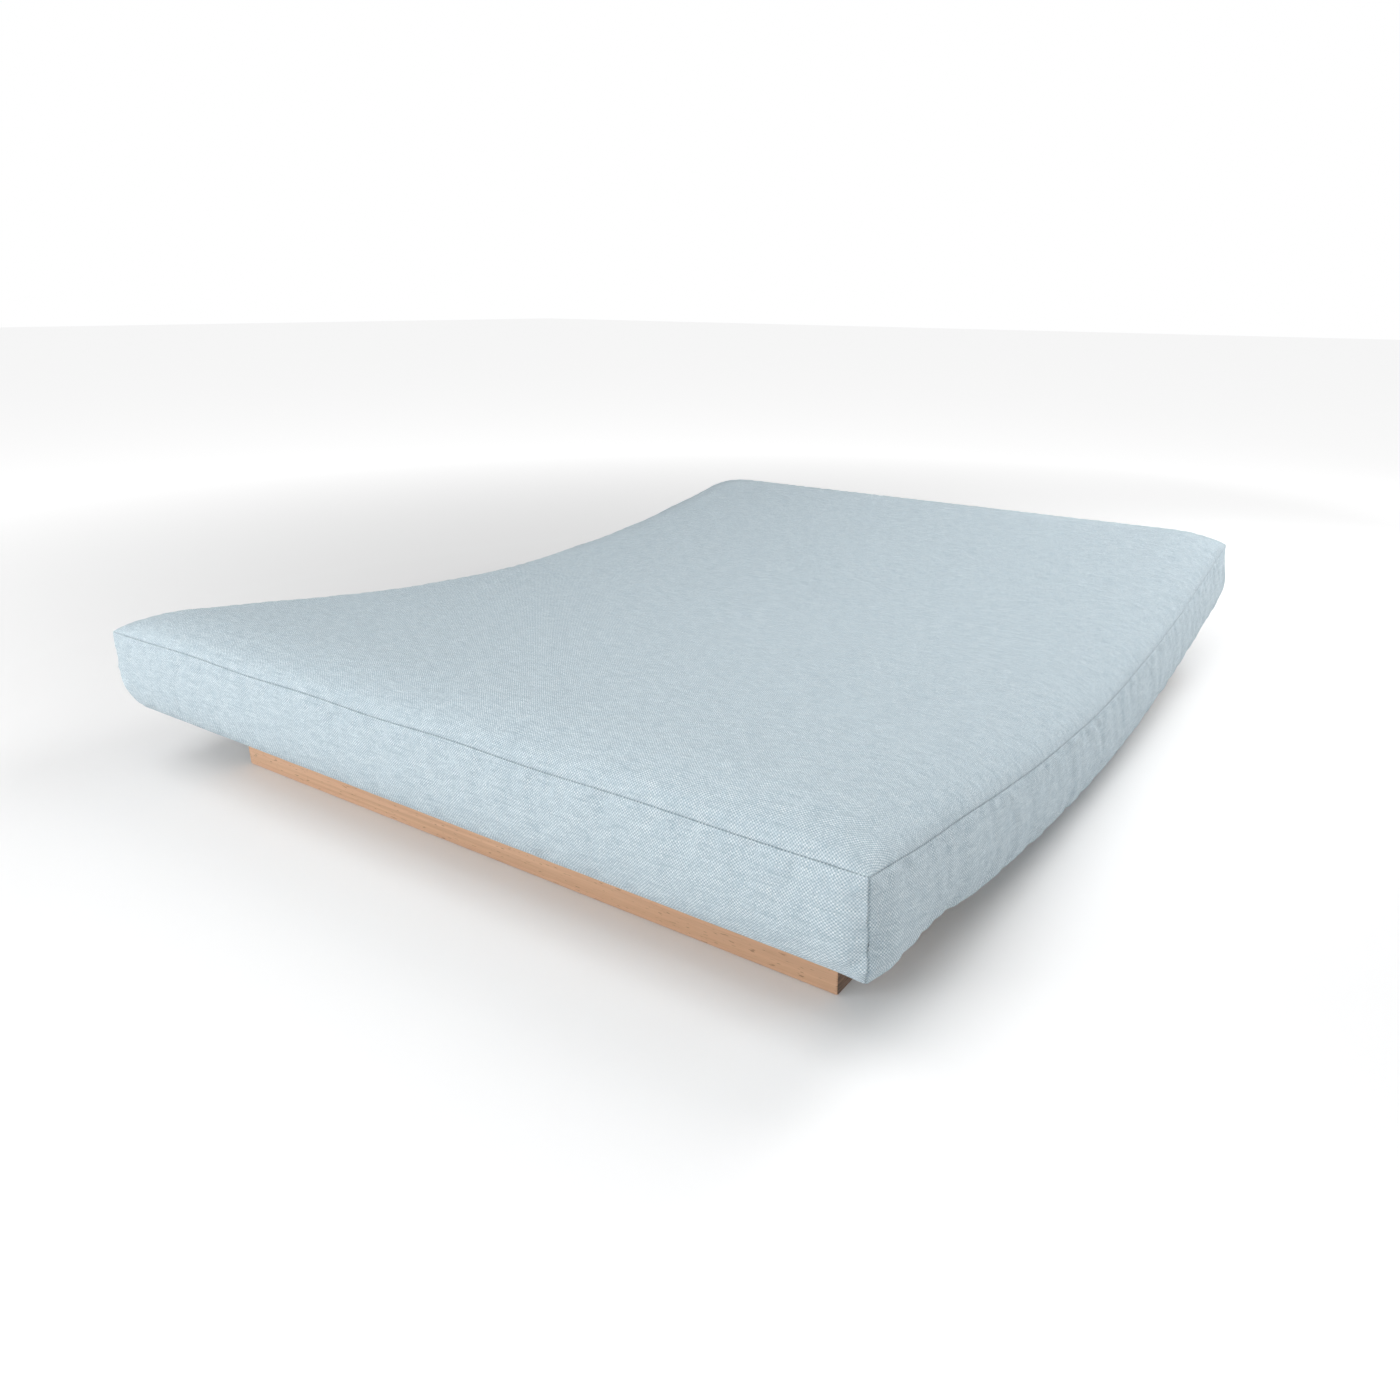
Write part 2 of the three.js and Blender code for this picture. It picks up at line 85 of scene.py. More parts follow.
def arc_to_distance(arc):
    """How far in from the seam a point is, for its length along the swelling surface."""
    theta = np.linspace(0, np.pi / 2, 400)
    rise = np.hypot(SHOULDER * np.sin(theta), CROWN * np.cos(theta))
    length = np.concatenate([[0], np.cumsum((rise[1:] + rise[:-1]) / 2 * np.diff(theta))])
    bent = SHOULDER * (1 - np.cos(np.interp(arc, length, theta)))
    return np.where(arc > length[-1], SHOULDER + arc - length[-1], bent), length[-1]


NEAR_SEAM = np.array([0, 0.8, 1.8, 3.0, 4.6, 7, 10.5, 15]) * MM


def along(half, step):
    """Places from -half to half, close together by the seams at both ends."""
    shoulder_arc = arc_to_distance(np.array([0.0]))[1]
    reach = half - SHOULDER + shoulder_arc  # from the seam to the middle, over the swell
    count = round((reach - NEAR_SEAM[-1]) / step)
    arcs = np.concatenate([NEAR_SEAM, np.linspace(NEAR_SEAM[-1], reach, count + 1)[1:]])
    inward = half - arc_to_distance(arcs)[0]
    inward[-1] = 0
    return np.concatenate([-inward, inward[-2::-1]])


def down(start, end, step):
    """Depths under the seam, close together at both ends."""
    near = NEAR_SEAM[NEAR_SEAM < (end - start) / 4]
    count = max(2, round((end - start - 2 * near[-1]) / step))
    middle = np.linspace(start + near[-1], end - near[-1], count + 1)
    return np.concatenate([start + near[:-1], middle, (end - near[:-1])[::-1]])


# --- panels: each gives a point for a place across it and a place along it ---

def level_panel(depth, swells, inset=0.0):
    """A level panel at a depth below the seam. One that is set in swells as the full one does."""
    scale_x, scale_y = HALF_WIDTH / (HALF_WIDTH - inset), HALF_SPAN / (HALF_SPAN - inset)

    def point(x, y):
        x, y = np.meshgrid(x, y)
        lift = crown(x * scale_x, y * scale_y) if swells else 0
        return np.stack([x, y, seam_height(y) - depth + lift], axis=-1)
    return point


def end_panel(side):
    def point(x, depth):
        x, depth = np.meshgrid(x, depth)
        return np.stack([x, np.full_like(x, side * HALF_SPAN), END_SEAM - depth], axis=-1)
    return point


def zip_panel(edge, way):
    """A strip of the back border, which turns in at the zip. way is 1 above it and -1 below."""
    def point(x, depth):
        x, depth = np.meshgrid(x, depth)
        past = np.maximum(way * (depth - edge), 0)
        face = np.where(past > 0, edge, depth)
        turn = np.minimum(past / HEM_ROUND, np.pi / 2)
        inward = HEM_ROUND * (1 - np.cos(turn)) + np.maximum(past - HEM_ROUND * np.pi / 2, 0)
        return np.stack([x, HALF_SPAN - inward, END_SEAM - face - way * HEM_ROUND * np.sin(turn)], axis=-1)
    return point


def side_panel(side):
    def point(y, depth):
        y, depth = np.meshgrid(y, depth)
        return np.stack([np.full_like(y, side * HALF_WIDTH), y, seam_height(y) - depth], axis=-1)
    return point


# --- how the cover has settled ---

def waves(place, seed, lengths):
    """A smooth wander along a line, from -1 to 1 or so, as a sum of sines."""
    draw = np.random.default_rng(seed)
    total = np.zeros_like(place)
    for length in lengths:
        swing = 0.6 + 0.4 * np.sin(2 * np.pi * place / (7.3 * length) + draw.uniform(0, 6.28))
        total = total + swing * np.sin(2 * np.pi * place / length + draw.uniform(0, 6.28))
    return total / len(lengths)


def close_to(distance, reach):
    return np.exp(-((distance / reach) ** 2))


BORDER_REACH = 0.03  # how far in from a border's plane its movement reaches
CORNER_REACH = 0.03
CORNER_PULL = 0.016  # how far the lower end of a corner seam is drawn in
NEAR_CORNER_FLARE = 0.004  # the corner at front right stands out instead
SEAM_WANDER = 0.0042
HEM_WANDER = 0.0042
BELLY = 0.011  # how far the borders swell between their seams
TURN_UNDER = 0.006  # how far the bottom seam lies under the border
HEM_DROP = 0.0025  # how far the filling pushes the bottom seam down
SIDE_FOLD, END_FOLD = 0.0032, 0.0012  # how deep the soft upright folds in the borders are
SEAM_PUCKER = 0.0009  # small pleats beside the top seam
CORNER_PUCKER = 0.0016  # small pleats beside a corner seam
CORNER_STRAY = 0.0016  # how far a corner seam strays sideways
NEAR_SWELL, NEAR_SWELL_AT, NEAR_SWELL_REACH = 0.007, 0.055, 0.04  # the right hem stands out near the front
NEAR_LIFT, NEAR_LIFT_AT, NEAR_LIFT_REACH = 0.0075, 0.2, 0.075  # and rises further back
ZIP_HOLD = 0.026  # how far above and below itself the zip holds the back border in

# the lengths of the waves that make up each wander
FRONT_SEAM_WAVES, SIDE_SEAM_WAVES = (1.05, 0.62, 0.34), (0.8, 0.45, 0.23)
SIDE_HEM_WAVES, END_HEM_WAVES = (0.098, 0.071, 0.16), (0.12, 0.085, 0.21)
SIDE_FOLD_WAVES, END_FOLD_WAVES = (0.098, 0.067, 0.145, 0.041), (0.16, 0.093, 0.24, 0.05)
SIDE_PLEATS, END_PLEATS = (0.021, 0.016, 0.036), (0.021, 0.015, 0.034)
CORNER_PLEATS, STRAY_WAVES = (0.019, 0.013, 0.031), (0.11, 0.06, 0.036)


def smooth(value, low, high):
    t = np.clip((value - low) / (high - low), 0, 1)
    return t * t * (3 - 2 * t)


class Spot:
    """Where points lie on the plain mattress, for all that moves them."""

    def __init__(self, p):
        self.x, self.y, self.z = p[..., 0], p[..., 1], p[..., 2]
        self.in_x, self.in_y = HALF_WIDTH - np.abs(self.x), HALF_SPAN - np.abs(self.y)
        self.sx, self.sy = np.sign(self.x), np.sign(self.y)
        self.low = np.clip((seam_height(self.y) - self.z) / THICKNESS, 0, 1)  # from top seam to bottom seam
        self.hem = self.low ** 3
        self.full = np.sin(np.pi * self.low) ** 0.7
        self.by_end, self.by_side = close_to(self.in_y, BORDER_REACH), close_to(self.in_x, BORDER_REACH)
        self.from_corner = np.hypot(self.in_x, self.in_y)
        self.free = 1 - close_to((self.low - 0.5) * THICKNESS, ZIP_HOLD) * (self.y > 0)  # not held by the zip


def wander_seams(move, at):
    """The top seam rises and falls a little."""
    front = waves(at.x, SEED, FRONT_SEAM_WAVES) * close_to(at.in_y, 0.2) * smooth(-at.y, 0, 0.5)
    side = waves(at.y, SEED + 1, SIDE_SEAM_WAVES) * close_to(at.in_x, 0.16)
    fade = np.clip((at.in_x + at.in_y) / 0.12, 0, 1)
    move[..., 2] += SEAM_WANDER * (1 - at.low) * (front + 0.7 * side) * fade


def swell_borders(move, at):
    """The borders swell and fold, and turn under to a scalloped bottom seam."""
    belly = BELLY * np.sin(np.pi * at.low ** 1.4)
    under = TURN_UNDER * smooth(at.low, 0.84, 1.0)
    hem_side = HEM_WANDER * at.hem * waves(at.y, SEED + 2, SIDE_HEM_WAVES)
    hem_end = HEM_WANDER * at.hem * waves(at.x, SEED + 3, END_HEM_WAVES)
    lean = 0.02 * at.low + 0.006 * np.sin(9 * at.low)
    fold_side = SIDE_FOLD * at.full * waves(at.y + lean, SEED + 4, SIDE_FOLD_WAVES)
    fold_end = END_FOLD * at.full * waves(at.x - lean, SEED + 5, END_FOLD_WAVES)
    away = smooth(at.from_corner, 0, 0.05)  # a corner seam keeps its line
    move[..., 0] += at.sx * at.by_side * (belly * away - under + hem_side + fold_side)
    move[..., 1] += at.sy * at.by_end * ((belly * away + fold_end) * at.free - under + 0.5 * hem_end)
    move[..., 2] += at.by_side * hem_side + 0.5 * at.by_end * hem_end
    move[..., 2] -= HEM_DROP * at.hem * np.maximum(at.by_side, at.by_end)


def pucker_seams(move, at):
    """Small pleats beside the top seam and the corner seams."""
    ridge = np.exp(-at.low * THICKNESS / 0.014) * np.exp(-np.minimum(at.in_x, at.in_y) / 0.012)
    pleats = at.by_end * waves(at.x, SEED + 7, END_PLEATS) + at.by_side * waves(at.y, SEED + 8, SIDE_PLEATS)
    move[..., 2] += SEAM_PUCKER * ridge * pleats
    move[..., 0] += at.sx * at.by_side * SEAM_PUCKER * ridge * pleats
    move[..., 1] += at.sy * at.by_end * SEAM_PUCKER * ridge * pleats
    beside = np.exp(-at.from_corner / 0.022)
    pucker = CORNER_PUCKER * at.full * beside * waves(at.z, SEED + 6, CORNER_PLEATS)
    move[..., 0] += at.sx * at.by_side * pucker
    move[..., 1] += at.sy * at.by_end * pucker * at.free


def shape_corners(move, at):
    """The corner seams stray; their lower ends are drawn in, but flare at the front right."""
    corner = close_to(at.from_corner, CORNER_REACH)
    stray = CORNER_STRAY * corner * at.full * waves(at.z, SEED + 9, STRAY_WAVES)
    move[..., 0] += at.sx * stray
    move[..., 1] -= at.sy * stray
    near = (at.x > 0) & (at.y < 0)
    hem = near * at.by_side * at.hem
    swell = NEAR_SWELL * hem * close_to(at.in_y - NEAR_SWELL_AT, NEAR_SWELL_REACH)
    lift = NEAR_LIFT * hem * close_to(at.in_y - NEAR_LIFT_AT, NEAR_LIFT_REACH)
    move[..., 0] += swell - 0.8 * lift
    move[..., 2] += lift - 0.4 * swell
    pull = np.where(near, -NEAR_CORNER_FLARE * at.low ** 2, CORNER_PULL * smooth(at.low, 0.62, 1)) * corner
    move[..., 0] -= at.sx * pull
    move[..., 1] -= at.sy * pull * np.where(near, 0.6, 1)
    move[..., 2] += np.where(near, 0, 0.8) * np.abs(pull)


def settled(p):
    """How far each point has moved from the plain shape."""
    at, move = Spot(p), np.zeros_like(p)
    for step in (wander_seams, swell_borders, pucker_seams, shape_corners):
        step(move, at)
    return move


TUCK_DEPTH = 0.7 * MM
CORNER_TUCK = 2.2 * MM
TUCK_REACH = 3.6 * MM
CORNER_LINE = 0.55  # distance to a corner seam counts only this much, so that its line is broader


def tucked(p):
    """The groove at each seam, where the edges of two panels turn in, and the distance to the nearest."""
    at = Spot(p)
    level = np.zeros_like(at.x)
    above = at.z - seam_height(at.y)
    under = above + THICKNESS
    half = math.sqrt(0.5)
    # distance, inward direction, depth, how the distance counts
    seams = [
        (np.hypot(at.in_y, above), (level, -at.sy, level), TUCK_DEPTH, 1),
        (np.hypot(at.in_x, above), (-at.sx, level, level), TUCK_DEPTH, 1),
        (np.hypot(at.in_y, under), (level, -half * at.sy, level + half), TUCK_DEPTH, 1),
        (np.hypot(at.in_x, under), (-half * at.sx, level, level + half), TUCK_DEPTH, 1),
        (np.hypot(at.from_corner, np.maximum(above, 0)), (-half * at.sx, -half * at.sy, level),
         CORNER_TUCK, CORNER_LINE),
    ]
    move = np.zeros_like(p)
    nearest = np.full_like(at.x, 1.0)
    for distance, inward, depth, count in seams:
        share = (1 - np.clip(distance / TUCK_REACH, 0, 1)) ** 2
        move += depth * share[..., None] * np.stack(inward, axis=-1)
        nearest = np.minimum(nearest, distance * count)
    return move, nearest


# --- cloth ---

SIM_STEP = 12 * MM
SIM_FRAMES = 20
SPARE = 0.05  # how much more cloth there is than the space it fills
CLOTH = {
    "quality": 6, "mass": 0.25,
    "tension_stiffness": 18, "compression_stiffness": 18, "shear_stiffness": 6, "bending_stiffness": 0.1,
    "tension_damping": 8, "compression_damping": 8, "shear_damping": 8,
    "vertex_group_mass": "pins", "pin_stiffness": 1.2,
    "use_pressure": True, "uniform_pressure_force": 2.2, "shrink_min": -SPARE,
}
TREMBLE = 0.2 * MM  # an uneven start, so that the cloth can buckle
CAP = {"level": 5 * MM, "border": 7 * MM}  # how far a point may move in the trial
SHARE = {"level": 0.35, "border": 0.8}  # how much of that movement the panels take


def even(values, step):
    """As many even places as the step asks for, ending where the values end."""
    count = max(3, round((values[-1] - values[0]) / step))
    return np.linspace(values[0], values[-1], count + 1)


def grid_faces(rows, columns, start=0):
    index = start + np.arange(rows * columns).reshape(rows, columns)
    corners = [index[:-1, :-1], index[:-1, 1:], index[1:, 1:], index[1:, :-1]]
    return np.stack(corners, axis=-1).reshape(-1, 4)


def strip(upper, lower):
    """Faces between matching closed rings."""
    quads = np.stack([upper, lower, np.roll(lower, -1, -1), np.roll(upper, -1, -1)], -1)
    return quads.reshape(-1, 4).tolist()


def mesh_object(name, points, faces):
    mesh = bpy.data.meshes.new(name)
    mesh.from_pydata(points.reshape(-1, 3).tolist(), [], faces)
    mesh.update()
    piece = bpy.data.objects.new(name, mesh)
    bpy.context.scene.collection.objects.link(piece)
    return piece


def coordinates(mesh):
    flat = np.empty(3 * len(mesh.vertices))
    mesh.vertices.foreach_get("co", flat)
    return flat.reshape(-1, 3)


def trial_mesh(panels):
    """All panels as one loose mesh with its seams pinned, and each one's places, points and first index."""
    grids, faces, start = [], [], 0
    draw = np.random.default_rng(SEED)
    for panel in panels:
        u, v = even(panel["u"], SIM_STEP), even(panel["v"], panel["sim_step"])
        points = panel["point"](u, v)
        rows, columns = points.shape[:2]
        quads = grid_faces(rows, columns, start)
        faces.append(quads[:, ::-1] if panel["flip"] else quads)
        grids.append((u, v, points, start))
        start += rows * columns
    flat = np.concatenate([g[2].reshape(-1, 3) for g in grids])
    pins = np.zeros(len(flat))
    for panel, (u, v, points, first) in zip(panels, grids):
        rows, columns = points.shape[:2]
        index = first + np.arange(rows * columns).reshape(rows, columns)
        rim = np.concatenate([index[0], index[-1], index[:, 0], index[:, -1]])
        pins[rim] = 1
        inside = np.setdiff1d(index.ravel(), rim)
        pins[inside] = panel["hold"]
        flat[inside] += draw.normal(0, TREMBLE, (len(inside), 3))
    body = mesh_object("cloth_trial", flat, np.concatenate(faces).tolist())
    group = body.vertex_groups.new(name="pins")
    for weight in np.unique(pins):
        group.add(np.flatnonzero(pins == weight).tolist(), float(weight), "REPLACE")
    return body, grids


def run_cloth(body):
    """Where the points of the mesh end. The trial mesh is deleted."""
    cloth = body.modifiers.new("cloth", "CLOTH")
    for name, value in CLOTH.items():
        setattr(cloth.settings, name, value)
    cloth.settings.effector_weights.gravity = 0
    cloth.collision_settings.use_collision = False
    cloth.point_cache.frame_start, cloth.point_cache.frame_end = 1, SIM_FRAMES
    scene = bpy.context.scene
    for number in range(1, SIM_FRAMES + 1):
        scene.frame_set(number)
    shown = body.evaluated_get(bpy.context.evaluated_depsgraph_get())
    after = coordinates(shown.data)
    scene.frame_set(1)
    bpy.data.objects.remove(body)
    return after


def simulate(panels):
    """Grows the panels and blows them up between pinned seams, and gives how far each point moved."""
    body, grids = trial_mesh(panels)
    after = run_cloth(body)
    moves = []
    for panel, (u, v, points, first) in zip(panels, grids):
        count = points.shape[0] * points.shape[1]
        move = (after[first:first + count] - points.reshape(-1, 3)).reshape(points.shape)
        cap = CAP[panel["kind"]]
        length = np.linalg.norm(move, axis=-1, keepdims=True)
        scale = cap * np.tanh(length / cap) / np.maximum(length, 1e-9)
        move = SHARE[panel["kind"]] * move * scale
        for rim in (move[0], move[-1], move[:, 0], move[:, -1]):
            rim[...] = 0
        moves.append((u, v, move))
    return moves


def spline_weights(coarse, fine):
    """Rows that turn values at even places into values at the fine ones, by a Catmull-Rom spline."""
    last = len(coarse) - 1
    place = (fine - coarse[0]) / (coarse[-1] - coarse[0]) * last
    cell = np.clip(np.floor(place).astype(int), 0, last - 1)
    t = place - cell
    rows = np.zeros((len(fine), last + 1))
    parts = [
        (-1, (-t + 2 * t ** 2 - t ** 3) / 2),
        (0, (2 - 5 * t ** 2 + 3 * t ** 3) / 2),
        (1, (t + 4 * t ** 2 - 3 * t ** 3) / 2),
        (2, (-t ** 2 + t ** 3) / 2),
    ]
    for offset, weight in parts:
        np.add.at(rows, (np.arange(len(fine)), np.clip(cell + offset, 0, last)), weight)
    return rows


def normals_of(points, flip):
    across = np.gradient(points, axis=1)
    along_it = np.gradient(points, axis=0)
    normal = np.cross(across, along_it)
    normal /= np.maximum(np.linalg.norm(normal, axis=-1, keepdims=True), 1e-12)
    return -normal if flip else normal


BACK_STRIDE = 6  # the back of a shell, which lies inside, has every sixth row and column


def every(count):
    """0, BACK_STRIDE, ... and always the last."""
    return np.unique(np.append(np.arange(0, count, BACK_STRIDE), count - 1))


def shell(name, outer, thickness, flip):
    """A closed shell: the outer grid, a coarser one behind it, and a rim of polygons."""
    rows, columns = outer.shape[:2]
    js, rs = every(columns), every(rows)
    normal = normals_of(outer, flip)
    inner = (outer - thickness * normal)[np.ix_(rs, js)]
    first = rows * columns
    back = first + np.arange(len(rs) * len(js)).reshape(len(rs), len(js))
    front = np.arange(first).reshape(rows, columns)
    faces = grid_faces(rows, columns).tolist()
    faces += grid_faces(len(rs), len(js), first)[:, ::-1].tolist()
    sides = [
        (front[0], back[0], js, True),
        (front[-1], back[-1], js, False),
        (front[:, 0], back[:, 0], rs, False),
        (front[:, -1], back[:, -1], rs, True),
    ]
    for fine, coarse, at, turn in sides:
        for k in range(len(at) - 1):
            rim = fine[at[k]:at[k + 1] + 1].tolist() + [int(coarse[k + 1]), int(coarse[k])]
            faces.append(rim[::-1] if turn else rim)
    if flip:
        faces = [face[::-1] for face in faces]
    piece = mesh_object(name, np.concatenate([outer.reshape(-1, 3), inner.reshape(-1, 3)]), faces)
    piece.data.shade_smooth()
    return piece


def store(piece, name, kind, values):
    attribute = piece.data.attributes.new(name, kind, "POINT")
    field = "vector" if kind == "FLOAT_VECTOR" else "value"
    attribute.data.foreach_set(field, np.ascontiguousarray(values, dtype=np.float32).ravel())


def store_grid(piece, name, kind, values):
    """Stores a shell's values, on its outer grid and on the coarser back."""
    rows, columns = values.shape[:2]
    back = values[np.ix_(every(rows), every(columns))]
    store(piece, name, kind, np.concatenate([values.ravel(), back.ravel()]))


# --- the cover ---

FINE = 6 * MM


def cover_panels():
    xs, ys = along(HALF_WIDTH, FINE), along(HALF_SPAN, FINE)
    depths = down(0, THICKNESS, 4 * MM)
    middle = THICKNESS / 2
    edge = ZIP_SLOT + HEM_ROUND
    upper = down(0, middle - edge + HEM_TURN, 3 * MM)
    lower = down(middle + edge - HEM_TURN, THICKNESS, 3 * MM)
    tab = np.append(np.arange(ZIP_END, HALF_WIDTH - NEAR_SEAM[5], 3 * MM), HALF_WIDTH - NEAR_SEAM[4::-1])
    slot = down(middle - ZIP_SLOT + GAP, middle + ZIP_SLOT - GAP, 2 * MM)
    border = {"kind": "border", "sim_step": 10 * MM, "hold": 0.0}
    level = {"kind": "level", "sim_step": SIM_STEP, "hold": 0.35}
    still = {"kind": None}
    rows = [
        ("cover_top_panel", level_panel(0, True), xs, ys, False, level),
        ("cover_bottom_panel", level_panel(THICKNESS, False), xs, ys, True, still),
        ("cover_border_front", end_panel(-1), xs, depths, True, border),
        ("cover_border_right", side_panel(1), ys, depths, True, border),
        ("cover_border_left", side_panel(-1), ys, depths, False, border),
        ("cover_border_back_upper", zip_panel(middle - edge, 1), xs, upper, False, border),
        ("cover_border_back_lower", zip_panel(middle + edge, -1), xs, lower, False, border),
        ("zip_end_tab_right", end_panel(1), tab, slot, False, still),
        ("zip_end_tab_left", end_panel(1), -tab[::-1], slot, False, still),
    ]
    names = ("node", "point", "u", "v", "flip")
    return [{**dict(zip(names, row)), **row[-1]} for row in rows]


def surface_length(points, axis):
    steps = np.linalg.norm(np.diff(points, axis=axis), axis=-1)
    total = np.cumsum(steps, axis=axis)
    pad = [(0, 0), (0, 0)]
    pad[axis] = (1, 0)
    return np.pad(total, pad)


def make_cover(material):
    panels = cover_panels()
    moved = [p for p in panels if p["kind"]]
    moves = dict(zip([p["node"] for p in moved], simulate(moved)))
    for panel in panels:
        plain = panel["point"](panel["u"], panel["v"])
        groove, seam = tucked(plain)
        points = plain + settled(plain) + groove
        if panel["node"] in moves:
            u, v, move = moves[panel["node"]]
            wu, wv = spline_weights(u, panel["u"]), spline_weights(v, panel["v"])
            points = points + np.einsum("ai,ijc,bj->abc", wv, move, wu)
        piece = shell(panel["node"] + ".cloth", points, COVER * 0.8, panel["flip"])
        u_length, v_length = surface_length(plain, 1), surface_length(plain, 0)
        store_grid(piece, "cloth", "FLOAT_VECTOR", np.stack([u_length, v_length, 0 * seam], axis=-1))
        store_grid(piece, "seam", "FLOAT", seam)
        dress(piece, material, "mattress", "linen_cover", panel["node"])


# --- what the cover holds ---

LOOSE = 0.4 * MM
CALICO = 1.2 * MM
CASE_ROUND, CASE_STEP = 40 * MM, 14 * MM
CASE_INSET = HALF_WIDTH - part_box("inner_case_top")[1].x
BED_INSET = HALF_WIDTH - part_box("coir_core")[1].x


def lumps(x, y, seed, lengths, count=14):
    """Soft unevenness from -1 to 1 or so: waves of many directions, their lengths between two limits."""
    draw = np.random.default_rng(seed)
    total = np.zeros_like(x)
    for _ in range(count):
        turn, length = draw.uniform(0, np.pi), draw.uniform(*lengths)
        phase = 2 * np.pi * (x * np.cos(turn) + y * np.sin(turn)) / length
        total += np.sin(phase + draw.uniform(0, 2 * np.pi))
    return total / math.sqrt(count)


def layer_depths(node):
    """How deep under the seam an uncrowned layer starts and ends."""
    low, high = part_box(node)
    return float(seam_height(high.y) - high.z), float(seam_height(0.0) - low.z)


def rounded_stations(half, radius, step):
    ease = radius * (1 - np.cos(np.linspace(0, np.pi / 2, 5)))
    inner = np.linspace(-half + radius, half - radius, round(2 * (half - radius) / step) + 1)
    return np.concatenate([-half + ease[:-1], inner, (half - ease[:-1])[::-1]])


def pad(node, depths, crowned, step, radius, rough, lengths, seed):
    """A layer of filling: a closed slab with soft edges, uneven inwards from its CAD surface."""
    half_x, half_y = HALF_WIDTH - BED_INSET, HALF_SPAN - BED_INSET
    x, y = np.meshgrid(rounded_stations(half_x, radius, step), rounded_stations(half_y, radius, step))
    edge = np.clip(np.minimum(half_x - np.abs(x), half_y - np.abs(y)) / radius, 0, 1)
    fall = radius * (1 - np.sqrt(np.maximum(1 - (1 - edge) ** 2, 0)))
    swell = crown(x * HALF_WIDTH / half_x, y * HALF_SPAN / half_y) if crowned else 0
    levels = []
    for side, depth in ((0, depths[0]), (1, depths[1])):
        uneven = rough * np.clip(0.5 + 0.35 * lumps(x, y, seed + side, lengths), 0, 1) * edge
        sign = 1 - 2 * side
        z = seam_height(y) - depth + (swell if side == 0 else 0) - sign * (fall + uneven)
        levels.append(z)
    rows, columns = x.shape
    index = np.arange(rows * columns).reshape(rows, columns)
    ring = np.concatenate([index[0, :-1], index[:-1, -1], index[-1, :0:-1], index[:0:-1, 0]])
    top, bottom = (np.stack([x, y, z], axis=-1).reshape(-1, 3) for z in levels)
    side_rows = max(1, round((depths[1] - depths[0] - 2 * radius) / (8 * MM)))
    shares = np.arange(1, side_rows + 1)[:, None, None] / (side_rows + 1)
    wall = top[ring] + shares * (bottom[ring] - top[ring])
    count = rows * columns
    rings = [ring, *(2 * count + np.arange(side_rows * len(ring)).reshape(side_rows, -1)), ring + count]
    faces = grid_faces(rows, columns).tolist() + grid_faces(rows, columns, count)[:, ::-1].tolist()
    for upper, lower in zip(rings, rings[1:]):
        faces += strip(upper, lower)
    points = np.concatenate([top, bottom, wall.reshape(-1, 3)])
    points = points + settled(points)
    piece = mesh_object(node + ".pad", points, faces)
    piece.data.shade_smooth()
    return piece


def dress(piece, material, body, slot, *nodes):
    piece.data.materials.append(material)
    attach(piece, body)
    if nodes:
        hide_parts(*nodes)
    return piece


def ring_shell(name, half_x, half_y, depths, thickness, step):
    """A closed band round all four sides, with a crease at each corner."""
    xs, ys = even(np.array([-half_x, half_x]), step), even(np.array([-half_y, half_y]), step)
    x = np.concatenate([xs[:-1], np.full(len(ys) - 1, half_x), xs[:0:-1], np.full(len(ys) - 1, -half_x)])
    y = np.concatenate([np.full(len(xs) - 1, -half_y), ys[:-1], np.full(len(xs) - 1, half_y), ys[:0:-1]])
    levels = even(np.array(depths), step)[:, None]
    outer = np.stack([x + 0 * levels, y + 0 * levels, seam_height(y) - levels], axis=-1)
    inner = outer.copy()
    inner[..., 0] = np.clip(inner[..., 0], -half_x + thickness, half_x - thickness)
    inner[..., 1] = np.clip(inner[..., 1], -half_y + thickness, half_y - thickness)
    rows, count = outer.shape[:2]
    a = np.arange(rows * count).reshape(rows, count)
    b = a + rows * count
    faces = strip(a[:-1], a[1:]) + strip(b[1:], b[:-1]) + strip(b[:1], a[:1]) + strip(a[-1:], b[-1:])
    points = np.concatenate([outer.reshape(-1, 3), inner.reshape(-1, 3)])
    piece = mesh_object(name, points + settled(points), faces)
    piece.data.shade_smooth()
    store(piece, "cloth", "FLOAT_VECTOR", np.concatenate([outer.reshape(-1, 3)] * 2)[:, [0, 2, 1]])
    return piece


LAYERS = ("cotton_batt_top", "foam_layer_upper", "coir_core", "foam_layer_lower", "cotton_batt_bottom")


def make_case(material):
    low, high = COVER + LOOSE, THICKNESS - COVER - LOOSE
    half_x, half_y = HALF_WIDTH - CASE_INSET, HALF_SPAN - CASE_INSET
    sheets = [
        ("inner_case_top", level_panel(low, True, CASE_INSET), False, LAYERS[0]),
        ("inner_case_bottom", level_panel(high, False, CASE_INSET), True, LAYERS[-1]),
    ]
    for node, point, flip, under in sheets:
        u, v = (rounded_stations(half, CASE_ROUND, CASE_STEP) for half in (half_x, half_y))
        points = point(u, v)
        ripple = 0.5 * MM * lumps(points[..., 0], points[..., 1], SEED + 20, (0.05, 0.2))
        shape = points + settled(points)
        shape[..., 2] += np.abs(ripple) * (1 if flip else -1)
        piece = shell(node + ".calico", shape, CALICO * 0.7, flip)
        store_grid(piece, "cloth", "FLOAT_VECTOR", points)
        dress(piece, material, "mattress", "calico", node)
    depths = (low + CALICO + LOOSE, high - CALICO - LOOSE)
    piece = ring_shell("inner_case_border.calico", half_x, half_y, depths, CALICO * 0.7, 12 * MM)
    dress(piece, material, "mattress", "calico", "inner_case_border")


